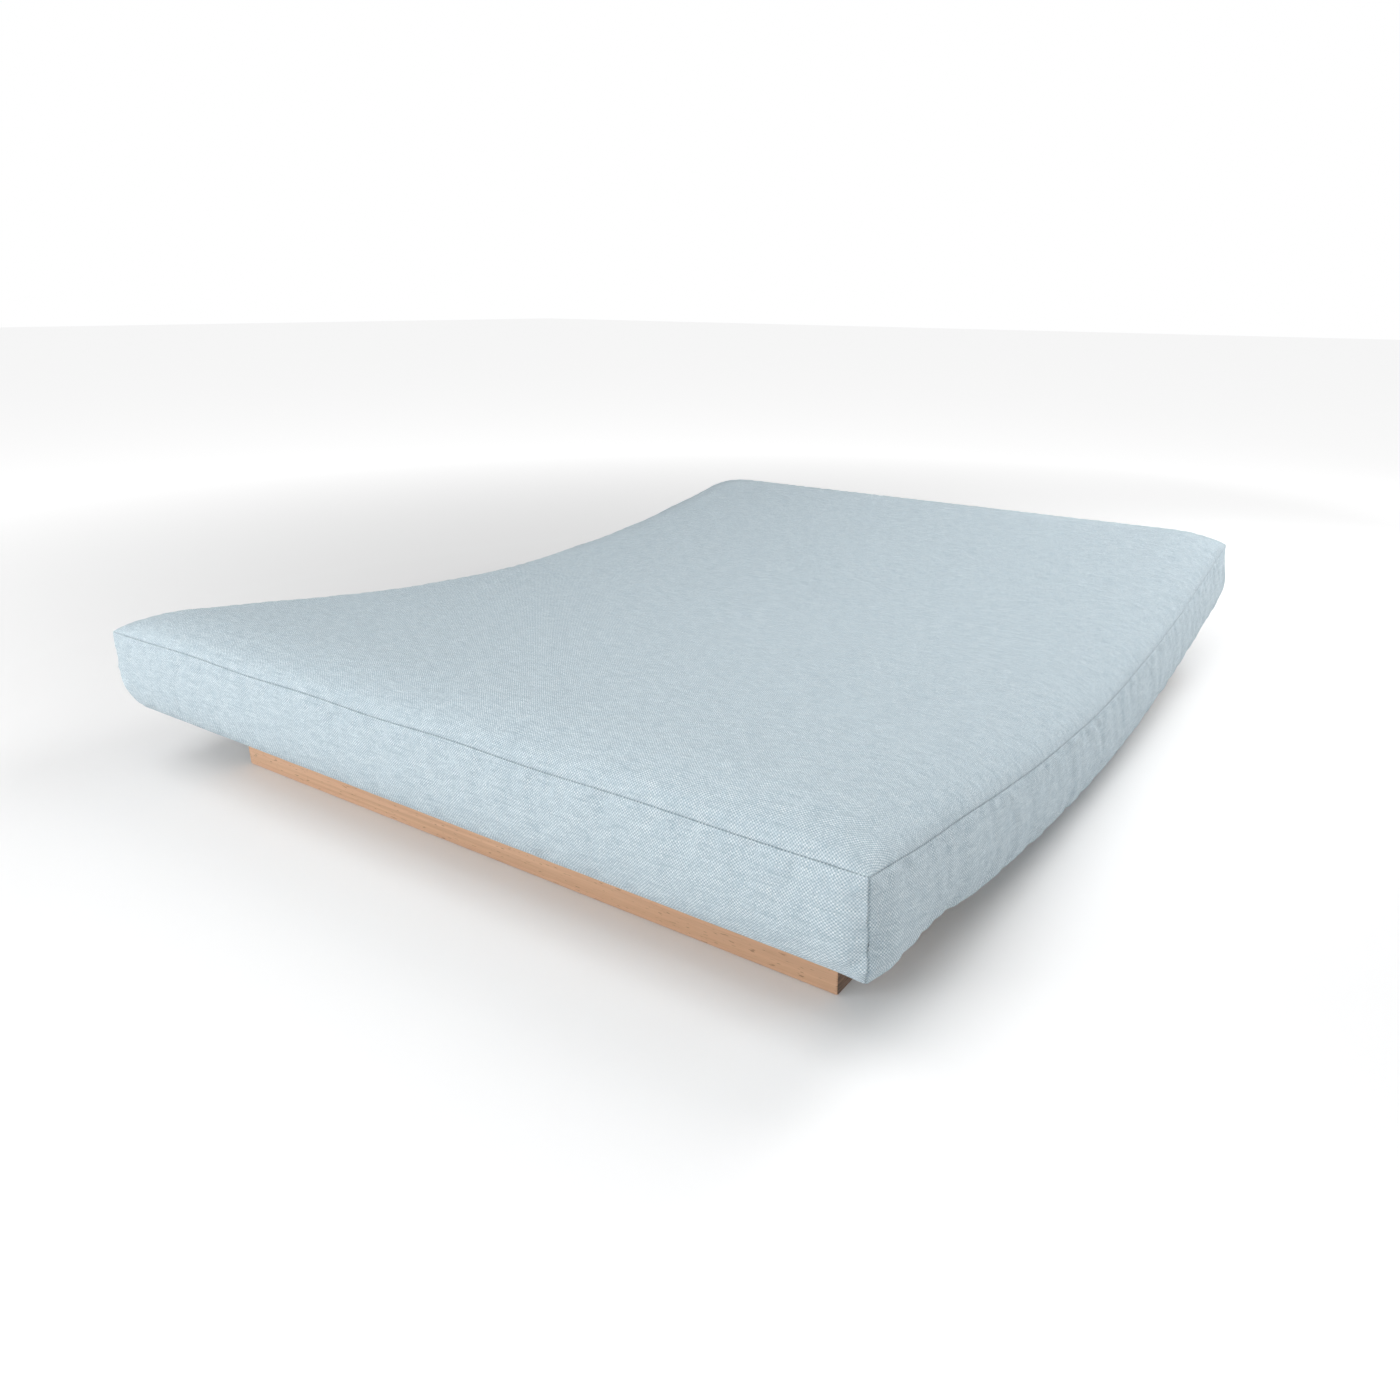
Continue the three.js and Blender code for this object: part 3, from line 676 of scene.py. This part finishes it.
def make_filling():
    felt, foam, coir = felted_cotton(), latex_foam(), bonded_coir()
    batt_top = (COVER + 2 * LOOSE + CALICO, layer_depths("foam_layer_upper")[0] - GAP)
    # material, slot, step, edge radius, unevenness, its lengths, fill
    batt = (felt, "cotton_felt", 14 * MM, 9 * MM, 1.8 * MM, (0.05, 0.2), 0.9)
    sheet = (foam, "foam", 16 * MM, 3 * MM, 0.3 * MM, (0.1, 0.4), 1.0)
    core = (coir, "coir", 12 * MM, 2 * MM, 0.9 * MM, (0.02, 0.06), 1.0)
    for k, (node, kind) in enumerate(zip(LAYERS, (batt, sheet, core, sheet, batt))):
        material, slot, step, radius, rough, lengths, fill = kind
        crowned = k == 0
        depths = batt_top if crowned else layer_depths(node)
        piece = pad(node, depths, crowned, step, radius, rough, lengths, SEED + 30 + 2 * k)
        dress(piece, material, "mattress", slot, node)


# --- swept and small pieces ---

def sweep(name, sections):
    """A closed solid through a list of matching outlines."""
    sections = np.asarray(sections)
    count, around = sections.shape[:2]
    a = np.arange(count * around).reshape(count, around)
    faces = strip(a[:-1], a[1:]) + [a[0].tolist(), a[-1, ::-1].tolist()]
    piece = mesh_object(name, sections, faces)
    mend_normals(piece)
    piece.data.shade_smooth()
    return piece


def mend_normals(piece):
    work = bmesh.new()
    work.from_mesh(piece.data)
    bmesh.ops.recalc_face_normals(work, faces=work.faces)
    work.to_mesh(piece.data)
    work.free()


def flat_outline(width, thickness, radius, steps=4):
    """A flat strip's section with round edges, as points across and up, centred."""
    turn = np.linspace(0, np.pi / 2, steps)
    points = []
    for k, (sx, sy) in enumerate([(1, 1), (-1, 1), (-1, -1), (1, -1)]):
        a = turn + k * np.pi / 2
        points.append(np.stack([sx * (width / 2 - radius) + radius * np.cos(a),
                                sy * (thickness / 2 - radius) + radius * np.sin(a)], -1))
    return np.concatenate(points)


TAPE_STEP = 5 * MM
BEAD = 0.25  # how much thicker a tape is near its inner edge


def make_tapes(material):
    for node in ("zip_tape_upper", "zip_tape_lower"):
        low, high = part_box(node)
        middle, size = (low + high) / 2, high - low
        outline = flat_outline(size.z - 0.1 * MM, size.y * 0.8, 0.3 * MM)
        inner_edge = -1 if node.endswith("upper") else 1
        bead = 1 + BEAD * close_to(outline[:, 0] - inner_edge * size.z / 2 * 0.6, 1.2 * MM)
        sections, cloth = [], []
        for x in np.arange(low.x, high.x + 1e-6, TAPE_STEP):
            ripple = 0.08 * MM * math.sin(x * 90) + 0.06 * MM * math.sin(x * 211)
            y = middle.y + ripple + outline[:, 1] * bead
            z = middle.z + outline[:, 0]
            sections.append(np.stack([np.full_like(y, x), np.clip(y, low.y, high.y), z], -1))
            cloth.append(np.stack([np.full_like(y, x), z, 0 * y], -1))
        piece = sweep(node + ".tape", sections)
        store(piece, "cloth", "FLOAT_VECTOR", np.array(cloth))
        dress(piece, material, "mattress", "zip_tape", node)


WIRE = 0.3 * MM  # the radius of the coil's wire
PITCH = 1.6 * MM
TURN_POINTS, WIRE_SIDES = 12, 4
OVERLAP = 0.35 * MM  # added to half the width of each helix, so that the two mesh


def coil_wire(low, high, side):
    """One half of the closed zip: a helix of wire, as rings of points."""
    middle, size = (low + high) / 2, high - low
    turns = int((size.x - 2 * WIRE) / PITCH)
    t = np.linspace(0, turns, turns * TURN_POINTS + 1)
    angle = 2 * np.pi * t + (0 if side > 0 else np.pi)
    reach_z, reach_y = size.z / 4 + OVERLAP, size.y / 2 - WIRE
    centre_z = side * (size.z / 2 - WIRE - reach_z)
    path = np.stack([low.x + WIRE + t * PITCH, middle.y + reach_y * np.sin(angle),
                     middle.z + centre_z + reach_z * np.cos(angle)], -1)
    tangent = np.gradient(path, axis=0)
    tangent /= np.linalg.norm(tangent, axis=1, keepdims=True)
    out = np.stack([0 * t, np.sin(angle), np.cos(angle)], -1)
    out -= (out * tangent).sum(1, keepdims=True) * tangent
    out /= np.linalg.norm(out, axis=1, keepdims=True)
    other = np.cross(tangent, out)
    around = np.arange(WIRE_SIDES) * 2 * np.pi / WIRE_SIDES
    cos, sin = np.cos(around)[None, :, None], np.sin(around)[None, :, None]
    return path[:, None] + WIRE * (cos * out[:, None] + sin * other[:, None])


def make_coil(material):
    low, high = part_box("zip_coil")
    points, faces, start = [], [], 0
    for side in (1, -1):
        tube = coil_wire(low, high, side)
        index = start + np.arange(tube.shape[0] * WIRE_SIDES).reshape(-1, WIRE_SIDES)
        faces += strip(index[:-1], index[1:]) + [index[0].tolist(), index[-1, ::-1].tolist()]
        points.append(tube.reshape(-1, 3))
        start += index.size
    coil = mesh_object("zip_coil.teeth", np.concatenate(points), faces)
    mend_normals(coil)
    coil.data.shade_smooth()
    dress(coil, material, "mattress", "zip_coil", "zip_coil")


REST_GAP = 0.6 * MM
SEAT_GAP = 0.8 * MM
SLAT = 18 * MM


def seat_height(y):
    """The underside of the slats, where the straps run."""
    slope = np.arctan(DIP * np.pi / SPAN * np.sin(np.pi * y / SPAN))
    return seam_height(y) - THICKNESS - REST_GAP - SLAT / np.cos(slope) - SEAT_GAP


def make_straps():
    material = cotton_webbing()
    for node in ("slat_strap_left", "slat_strap_right"):
        low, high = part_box(node)
        x, width = (low.x + high.x) / 2, high.x - low.x
        outline = flat_outline(width, 1.2 * MM, 0.5 * MM)
        sections, cloth, run = [], [], 0.0
        ys = np.arange(low.y, high.y, 6 * MM)
        for k, y in enumerate(ys):
            z = seat_height(y) - 0.75 * MM + outline[:, 1]
            run += 0 if k == 0 else float(np.hypot(y - ys[k - 1], seat_height(y) - seat_height(ys[k - 1])))
            sections.append(np.stack([x + outline[:, 0], np.full_like(z, y), z], -1))
            cloth.append(np.stack([outline[:, 0], np.full_like(z, run), 0 * z], -1))
        piece = sweep(node + ".webbing", sections)
        store(piece, "cloth", "FLOAT_VECTOR", np.array(cloth))
        dress(piece, material, "base", "webbing", node)


def softened(node, width, material, body, slot):
    """A hard piece's CAD shape with its sharp edges rounded."""
    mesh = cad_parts[node].data.copy()
    mesh.name = node + ".part"
    mesh.materials.clear()
    piece = bpy.data.objects.new(node + ".part", mesh)
    bpy.context.scene.collection.objects.link(piece)
    work = bmesh.new()
    work.from_mesh(mesh)
    bmesh.ops.remove_doubles(work, verts=work.verts, dist=1e-6)
    bmesh.ops.dissolve_limit(work, angle_limit=math.radians(1), verts=work.verts, edges=work.edges)
    sharp = [e for e in work.edges if e.is_manifold and e.calc_face_angle() > math.radians(35)]
    bmesh.ops.bevel(work, geom=sharp, offset=width, segments=3, profile=0.6,
                    affect="EDGES", clamp_overlap=True)
    work.to_mesh(mesh)
    work.free()
    mesh.shade_smooth()
    mesh.set_sharp_from_angle(angle=math.radians(40))
    return dress(piece, material, body, slot, node)


def make_metal():
    nickel = plain_metal("bright_nickel", srgb(196, 197, 198), 0.28)
    zinc = plain_metal("zinc_plate", srgb(160, 162, 165), 0.38)
    for node in ("zip_stop_left", "zip_stop_right"):
        softened(node, 0.4 * MM, nickel, "mattress", "nickel")
    softened("zip_slider", 0.2 * MM, nickel, "zip_slider", "nickel")
    softened("zip_pull", 0.15 * MM, nickel, "zip_pull", "nickel")
    for node in sorted(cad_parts):
        if node.startswith("bolt_"):
            softened(node, 0.3 * MM, zinc, "base", "zinc_steel")


def make_base():
    finishes = {
        "rail_": beech("beech_rail", 0),
        "bearer_": beech("beech_bearer", 1),
        "joint_block": beech("beech_block", 2),
        "slat_": birch_ply(),
    }
    for node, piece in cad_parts.items():
        for start, material in finishes.items():
            if node.startswith(start) and not node.startswith("slat_strap"):
                for place in piece.material_slots:
                    place.material = material


# --- materials ---

def srgb(r, g, b):
    """A linear colour from 8-bit screen values."""
    return tuple(((c / 255 + 0.055) / 1.055) ** 2.4 if c > 10 else c / 3294 for c in (r, g, b)) + (1.0,)


WARP_PALE, WARP_DEEP = srgb(249, 254, 255), srgb(234, 245, 250)
WEFT_PALE, WEFT_DEEP = srgb(194, 213, 222), srgb(153, 176, 189)
# the first of these is a painted shade colour, for the gaps between threads and the seam grooves
PAINTED_SHADE, NEP_TINT = srgb(98, 119, 132), srgb(84, 96, 106)
YARN_DRIFT = 0.0018
STITCH = 5.5 * MM


class Finish:
    """A material under construction: short calls that add and link shader nodes."""

    def __init__(self, name, roughness=0.9, metallic=0.0):
        self.material = bpy.data.materials.new(name)
        self.material.use_nodes = True
        self.tree = self.material.node_tree
        self.shader = self.tree.nodes["Principled BSDF"]
        self.shader.inputs["Roughness"].default_value = roughness
        self.shader.inputs["Metallic"].default_value = metallic

    def put(self, kind, inputs=None, **settings):
        node = self.tree.nodes.new(kind)
        for key, value in settings.items():
            setattr(node, key, value)
        for key, value in (inputs or {}).items():
            if isinstance(value, bpy.types.NodeSocket):
                self.tree.links.new(value, node.inputs[key])
            else:
                node.inputs[key].default_value = value
        return node

    def math(self, operation, a, b=0.0, c=0.0):
        return self.put("ShaderNodeMath", {0: a, 1: b, 2: c}, operation=operation).outputs[0]

    def attribute(self, name):
        return self.put("ShaderNodeAttribute", attribute_name=name)

    def place(self):
        return self.put("ShaderNodeTexCoord").outputs["Object"]

    def parts(self, vector):
        return self.put("ShaderNodeSeparateXYZ", {0: vector}).outputs

    def normal(self):
        return self.parts(self.put("ShaderNodeNewGeometry").outputs["True Normal"])

    def scaled(self, vector, scale):
        return self.put("ShaderNodeVectorMath", {0: vector, 1: scale}, operation="MULTIPLY").outputs[0]

    def added(self, vector, other):
        return self.put("ShaderNodeVectorMath", {0: vector, 1: other}, operation="ADD").outputs[0]

    def noise(self, vector, scale=1.0, detail=2.0, roughness=0.5):
        inputs = {"Vector": vector, "Scale": scale, "Detail": detail, "Roughness": roughness}
        return self.put("ShaderNodeTexNoise", inputs).outputs["Fac"]

    def ramp(self, value, low, high, to_low=0.0, to_high=1.0):
        inputs = {0: value, 1: low, 2: high, 3: to_low, 4: to_high}
        return self.put("ShaderNodeMapRange", inputs, clamp=True).outputs[0]

    def blend(self, factor, a, b):
        return self.put("ShaderNodeMix", {0: factor, 6: a, 7: b}, data_type="RGBA").outputs[2]

    def colour(self, value):
        self.tree.links.new(value, self.shader.inputs["Base Color"])

    def rough(self, value):
        self.tree.links.new(value, self.shader.inputs["Roughness"])

    def bump(self, height, distance, strength=1.0):
        inputs = {"Height": height, "Distance": distance, "Strength": strength}
        node = self.put("ShaderNodeBump", inputs)
        self.tree.links.new(node.outputs[0], self.shader.inputs["Normal"])


def weave(f, vector, pitch, group):
    """Where the warp lies over, the height, and each crossing's own tone, for a basket weave."""
    across, along_it = f.parts(vector)[:2]
    a = f.math("DIVIDE", across, pitch)
    b = f.math("DIVIDE", along_it, pitch)
    warp = f.math("SINE", f.math("MULTIPLY", f.math("FRACT", a), math.pi))
    weft = f.math("SINE", f.math("MULTIPLY", f.math("FRACT", b), math.pi))
    column = f.math("FLOOR", f.math("DIVIDE", a, float(group)))
    row = f.math("FLOOR", f.math("DIVIDE", b, float(group)))
    over = f.math("LESS_THAN", f.math("FLOORED_MODULO", f.math("ADD", column, row), 2.0), 0.5)
    height = f.math("MULTIPLY_ADD", over, f.math("SUBTRACT", warp, weft), weft)
    crossing = f.put("ShaderNodeCombineXYZ", {0: column, 1: row}).outputs[0]
    tone = f.put("ShaderNodeTexWhiteNoise", {"Vector": crossing}, noise_dimensions="3D").outputs["Value"]
    return over, height, tone


THREAD = 1.12 * MM


def linen():
    """A basket weave of pale warp and bluer weft in pairs, with uneven yarn, a few dark neps, and painted
    shade in the gaps between threads and along the seams.
    """
    f = Finish("twill_linen", roughness=0.92)
    cloth = f.attribute("cloth").outputs["Vector"]
    seam = f.attribute("seam").outputs["Fac"]
    drift = f.put("ShaderNodeTexNoise", {"Vector": cloth, "Scale": 45.0, "Detail": 3.0}).outputs["Color"]
    drift = f.put("ShaderNodeVectorMath", {0: drift, 3: YARN_DRIFT}, operation="SCALE").outputs[0]
    threads = f.added(cloth, drift)
    over, height, tone = weave(f, threads, THREAD, 2)
    warp_slub = f.noise(f.scaled(cloth, (690.0, 30.0, 1.0)), detail=2)
    weft_slub = f.noise(f.scaled(cloth, (30.0, 690.0, 1.0)), detail=2)
    grit = f.noise(cloth, scale=520.0, detail=2, roughness=0.7)
    cloud = f.noise(f.scaled(cloth, (34.0, 90.0, 1.0)), detail=5, roughness=0.7)
    streak = f.noise(f.scaled(cloth, (14.0, 330.0, 1.0)), detail=2, roughness=0.6)
    warp = f.blend(f.ramp(warp_slub, 0.35, 0.65), WARP_DEEP, WARP_PALE)
    weft = f.blend(f.ramp(weft_slub, 0.35, 0.65), WEFT_DEEP, WEFT_PALE)
    base = f.blend(over, weft, warp)
    base = f.blend(f.ramp(tone, 0.5, 1.0, 0.0, 0.4), base, WEFT_DEEP)
    base = f.blend(f.ramp(grit, 0.44, 0.66, 0.0, 0.25), base, WEFT_DEEP)
    base = f.blend(f.ramp(cloud, 0.4, 0.68, 0.0, 0.34), base, WEFT_DEEP)
    base = f.blend(f.ramp(streak, 0.56, 0.72, 0.0, 0.5), base, WEFT_DEEP)
    # painted shade in the gaps between threads, darker where the weave dips
    base = f.blend(f.ramp(height, 0.1, 0.7, 0.75, 0.0), base, PAINTED_SHADE)
    cells = {"Vector": f.scaled(cloth, (7.0, 9.5, 1.0)), "Scale": 1.0, "Randomness": 1.0}
    nep = f.put("ShaderNodeTexVoronoi", cells).outputs
    chosen = f.math("LESS_THAN", f.parts(nep["Color"])[0], 0.5)
    dark = f.math("MULTIPLY", f.ramp(nep["Distance"], 0.009, 0.016, 0.8, 0.0), chosen)
    base = f.blend(dark, base, NEP_TINT)
    # painted shade along each seam's groove and in its needle holes, broken into dashes by the stitches
    across, along_it = f.parts(threads)[:2]
    run = f.math("MULTIPLY", f.math("ADD", across, along_it), 2 * math.pi / STITCH)
    stitch = f.ramp(f.math("SINE", run), -0.4, 0.4, 0.25, 1.0)
    seam_shade = f.math("MULTIPLY", f.ramp(seam, 0.5 * MM, 1.7 * MM, 0.62, 0.0), stitch)
    base = f.blend(seam_shade, base, PAINTED_SHADE)
    f.colour(base)
    f.bump(f.math("ADD", height, f.math("MULTIPLY", grit, 0.8)), 0.5 * MM, 0.7)
    f.shader.inputs["Sheen Weight"].default_value = 0.1
    f.shader.inputs["Sheen Roughness"].default_value = 0.6
    return f.material


def beech(name, grain_axis):
    """Oiled beech with its grain along one axis, flecked on the faces and ringed on the ends; the ends are
    darker, partly for the end grain and partly as painted shade.
    """
    f = Finish(name, roughness=0.5)
    place = f.place()
    long, fine, fleck = [150.0] * 3, [900.0] * 3, [420.0] * 3
    long[grain_axis], fine[grain_axis], fleck[grain_axis] = 2.2, 22.0, 60.0
    figure = f.noise(f.scaled(place, tuple(long)), detail=5, roughness=0.6)
    pores = f.noise(f.scaled(place, tuple(fine)), detail=3)
    flecks = f.noise(f.scaled(place, tuple(fleck)), detail=1)
    broad = f.noise(place, scale=3.0, detail=2)
    base = f.blend(f.ramp(figure, 0.32, 0.68), srgb(204, 162, 130), srgb(228, 188, 154))
    base = f.blend(f.ramp(broad, 0.35, 0.65, 0.0, 0.4), base, srgb(216, 172, 138))
    base = f.blend(f.ramp(pores, 0.55, 0.75, 0.0, 0.3), base, srgb(166, 120, 86))
    base = f.blend(f.ramp(flecks, 0.66, 0.72, 0.0, 0.55), base, srgb(128, 90, 66))
    # the end faces are darker: partly the end grain's own deeper tone, partly painted shade
    end = f.ramp(f.math("ABSOLUTE", f.normal()[grain_axis]), 0.75, 0.95)
    rings = f.noise(f.scaled(place, (1.0, 40.0, 420.0) if grain_axis == 0 else (420.0, 40.0, 40.0)), detail=3)
    dark = f.blend(f.ramp(rings, 0.35, 0.65), srgb(104, 80, 64), srgb(150, 120, 98))
    f.colour(f.blend(end, base, dark))
    f.rough(f.ramp(figure, 0.2, 0.8, 0.42, 0.6))
    f.bump(f.math("ADD", pores, f.math("MULTIPLY", figure, 0.6)), 0.15 * MM, 0.5)
    return f.material


def birch_ply():
    """Bent birch laminate: pale faces with the grain along X, and thin plies on the edges."""
    f = Finish("birch_laminate", roughness=0.55)
    place = f.place()
    own = f.math("MULTIPLY", f.put("ShaderNodeObjectInfo").outputs["Random"], 10.0)
    shifted = f.added(place, own)
    figure = f.noise(f.scaled(shifted, (1.6, 60.0, 60.0)), detail=4, roughness=0.6)
    pores = f.noise(f.scaled(shifted, (30.0, 900.0, 900.0)), detail=2)
    base = f.blend(f.ramp(figure, 0.3, 0.7), srgb(214, 187, 148), srgb(232, 210, 176))
    base = f.blend(f.ramp(pores, 0.55, 0.75, 0.0, 0.3), base, srgb(186, 152, 112))
    ply = f.math("FRACT", f.math("DIVIDE", f.parts(place)[2], 3.0 * MM))
    lines = f.math("LESS_THAN", ply, 0.42)
    on_edge = f.math("LESS_THAN", f.math("ABSOLUTE", f.normal()[2]), 0.6)
    f.colour(f.blend(f.math("MULTIPLY", f.math("MULTIPLY", lines, on_edge), 0.55), base, srgb(158, 120, 82)))
    f.bump(pores, 0.1 * MM, 0.4)
    return f.material


def plain_cloth(name, pitch, light, dark, gap_shade=0.3):
    f = Finish(name, roughness=0.9)
    cloth = f.attribute("cloth").outputs["Vector"]
    height = weave(f, cloth, pitch, 1)[1]
    slubs = [f.noise(f.scaled(cloth, scale)) for scale in ((900.0, 25.0, 900.0), (25.0, 900.0, 25.0))]
    slub = f.math("ADD", *slubs)
    base = f.blend(f.ramp(slub, 0.75, 1.25), dark, light)
    # darker where the threads dip, as painted shade in the gaps of the weave
    f.colour(f.blend(f.ramp(height, 0.0, 0.7, gap_shade, 0.0), base, dark))
    f.bump(height, 0.3 * MM, 0.5)
    return f.material


def calico_cloth():
    return plain_cloth("calico", 0.8 * MM, srgb(236, 229, 212), srgb(196, 184, 156))


def zip_tape():
    return plain_cloth("woven_tape", 0.7 * MM, srgb(176, 192, 202), srgb(128, 146, 158))


def cotton_webbing():
    return plain_cloth("cotton_webbing", 2.0 * MM, srgb(226, 219, 203), srgb(160, 150, 128), 0.5)


def felted_cotton():
    f = Finish("felted_cotton", roughness=0.98)
    place = f.place()
    clouds = f.noise(place, scale=22.0, detail=6, roughness=0.7)
    fibres = f.noise(f.scaled(place, (160.0, 700.0, 400.0)), detail=4, roughness=0.7)
    nep = f.put("ShaderNodeTexVoronoi", {"Vector": place, "Scale": 55.0}).outputs["Distance"]
    base = f.blend(f.ramp(clouds, 0.3, 0.7), srgb(222, 214, 196), srgb(243, 238, 224))
    base = f.blend(f.ramp(fibres, 0.55, 0.8, 0.0, 0.35), base, srgb(206, 195, 172))
    f.colour(f.blend(f.ramp(nep, 0.0, 0.12, 0.6, 0.0), base, srgb(150, 126, 92)))
    f.bump(f.math("ADD", clouds, f.math("MULTIPLY", fibres, 0.5)), 2.0 * MM, 0.7)
    f.shader.inputs["Sheen Weight"].default_value = 0.3
    return f.material


def latex_foam():
    f = Finish("cut_foam", roughness=0.9)
    place = f.place()
    cells = f.put("ShaderNodeTexVoronoi", {"Vector": place, "Scale": 620.0}).outputs["Distance"]
    tone = f.noise(place, scale=6.0, detail=3)
    base = f.blend(f.ramp(tone, 0.3, 0.7), srgb(236, 226, 190), srgb(242, 235, 208))
    # darker in the middle of each cell, as painted shade in the pores
    f.colour(f.blend(f.ramp(cells, 0.0, 0.6, 0.45, 0.0), base, srgb(190, 174, 130)))
    f.bump(cells, 0.5 * MM, 0.6)
    return f.material


def bonded_coir():
    f = Finish("bonded_coir", roughness=0.85)
    place = f.place()
    bend = f.noise(place, scale=30.0, detail=2)
    strands = []
    for k, scale in enumerate([(900.0, 60.0, 300.0), (60.0, 900.0, 300.0), (500.0, 420.0, 120.0)]):
        moved = f.added(f.scaled(place, scale), f.math("MULTIPLY", bend, 9.0 + k))
        strands.append(f.noise(moved, detail=3, roughness=0.6))
    mesh = f.math("MAXIMUM", f.math("MAXIMUM", strands[0], strands[1]), strands[2])
    # darker between the strands, as painted shade in the gaps of the mat
    base = f.blend(f.ramp(mesh, 0.45, 0.72), srgb(74, 46, 24), srgb(164, 118, 70))
    f.colour(base)
    f.bump(mesh, 1.6 * MM, 0.9)
    return f.material


def nylon_coil():
    f = Finish("nylon_coil", roughness=0.42)
    place = f.place()
    tone = f.noise(f.scaled(place, (40.0, 40.0, 40.0)), detail=2)
    f.colour(f.blend(f.ramp(tone, 0.3, 0.7), srgb(158, 175, 186), srgb(176, 191, 201)))
    return f.material


def plain_metal(name, tint, roughness):
    f = Finish(name, roughness=roughness, metallic=1.0)
    place = f.place()
    brushed = f.noise(f.scaled(place, (300.0, 2500.0, 2500.0)), detail=3)
    smudge = f.noise(place, scale=180.0, detail=3)
    worn = tuple(0.8 * c for c in tint[:3]) + (1.0,)
    f.colour(f.blend(f.ramp(smudge, 0.35, 0.7), tint, worn))
    f.rough(f.ramp(brushed, 0.3, 0.7, roughness - 0.08, roughness + 0.12))
    f.bump(brushed, 0.03 * MM, 0.4)
    return f.material


# --- camera, floor and light ---

CAMERA_PLACE = Vector((1.2507, -1.8934, 0.9008))
CAMERA_YAW, CAMERA_PITCH, CAMERA_ROLL = -32.33, -19.86, 0.53  # degrees: left, down, clockwise
CAMERA_LENS = 26.8
CAMERA_SHIFT = (-0.0574, -0.0194)


def make_camera():
    yaw, pitch, roll = (math.radians(a) for a in (CAMERA_YAW, CAMERA_PITCH, CAMERA_ROLL))
    forward = Vector((math.sin(yaw) * math.cos(pitch), math.cos(yaw) * math.cos(pitch), math.sin(pitch)))
    right = Vector((math.cos(yaw), -math.sin(yaw), 0))
    up = right.cross(forward)
    across = math.cos(roll) * right + math.sin(roll) * up
    upright = -math.sin(roll) * right + math.cos(roll) * up
    data = bpy.data.cameras.new("camera")
    data.lens = CAMERA_LENS
    data.shift_x, data.shift_y = CAMERA_SHIFT
    camera = bpy.data.objects.new("camera", data)
    turned = Matrix((across, upright, -forward)).transposed().to_4x4()
    camera.matrix_world = Matrix.Translation(CAMERA_PLACE) @ turned
    bpy.context.scene.collection.objects.link(camera)
    bpy.context.scene.camera = camera


FLOOR_REACH = 30.0
GLOW = (1.5, 4.2, 0.6)  # the floor starts to glow here, is full there, and how much


def make_floor():
    """A pale floor that brightens with distance, so that it meets the white surround softly."""
    f = Finish("pale_floor", roughness=0.9)
    f.shader.inputs["Base Color"].default_value = (0.9, 0.9, 0.9, 1)
    place = f.place()
    distance = f.put("ShaderNodeVectorMath", {0: place}, operation="LENGTH").outputs["Value"]
    f.shader.inputs["Emission Color"].default_value = (1, 1, 1, 1)
    f.tree.links.new(f.ramp(distance, GLOW[0], GLOW[1], 0.0, GLOW[2]), f.shader.inputs["Emission Strength"])
    r = FLOOR_REACH
    floor = mesh_object("floor", np.array([[-r, -r, 0], [r, -r, 0], [r, r, 0], [-r, r, 0]]), [[0, 1, 2, 3]])
    floor.data.materials.append(f.material)


# name, place, size of each side, watts; all are aimed at MIDDLE
LIGHTS = [
    ("front_left_low", (-2.4, -3.4, 1.0), 1.6, 50.0),
    ("front_high", (0.3, -3.6, 3.0), 2.0, 51.0),
    ("front_top", (0.0, -2.2, 3.4), 1.6, 31.0),
    ("top_right", (1.3, 0.2, 2.2), 1.2, 14.0),
    ("top_front_right", (1.6, -1.8, 2.4), 1.4, 6.5),
    ("back_right", (1.2, 2.2, 1.6), 1.0, 24.0),
    ("back_right_low", (3.0, 3.0, 1.2), 1.6, 26.0),
]
MIDDLE = (0, 0, 0.25)
WORLD_LIGHT = 0.3
SUN_FROM, SUN_HEIGHT, SUN_SPREAD, SUN_STRENGTH = 60, 60, 50, 0.2  # degrees, and watts per square metre


def aim(light, place, target):
    light.location = place
    light.rotation_euler = (Vector(target) - Vector(place)).to_track_quat("-Z", "Y").to_euler()


def add_light(name, kind, **settings):
    data = bpy.data.lights.new(name, kind)
    for key, value in settings.items():
        setattr(data, key, value)
    light = bpy.data.objects.new(name, data)
    bpy.context.scene.collection.objects.link(light)
    return light


def make_light():
    """Large soft lights, and a white surround that the camera sees brighter than it shines."""
    world = bpy.data.worlds.new("studio")
    bpy.context.scene.world = world
    world.use_nodes = True
    tree = world.node_tree
    path = tree.nodes.new("ShaderNodeLightPath")
    strength = tree.nodes.new("ShaderNodeMapRange")
    strength.inputs["To Min"].default_value = WORLD_LIGHT
    tree.links.new(path.outputs["Is Camera Ray"], strength.inputs["Value"])
    tree.links.new(strength.outputs[0], tree.nodes["Background"].inputs["Strength"])
    tree.nodes["Background"].inputs["Color"].default_value = (1, 1, 1, 1)
    for name, place, size, power in LIGHTS:
        aim(add_light(name, "AREA", size=size, energy=power), place, MIDDLE)
    angle, height = math.radians(SUN_FROM), math.radians(SUN_HEIGHT)
    away = Vector((math.sin(angle) * math.cos(height), -math.cos(angle) * math.cos(height), math.sin(height)))
    sun = add_light("sun", "SUN", energy=SUN_STRENGTH, angle=math.radians(SUN_SPREAD))
    aim(sun, away, (0, 0, 0))
    bpy.context.scene.view_settings.view_transform = "Standard"


make_camera()
make_floor()
make_light()
make_cover(linen())
make_case(calico_cloth())
make_filling()
make_tapes(zip_tape())
make_coil(nylon_coil())
make_straps()
make_metal()
make_base()
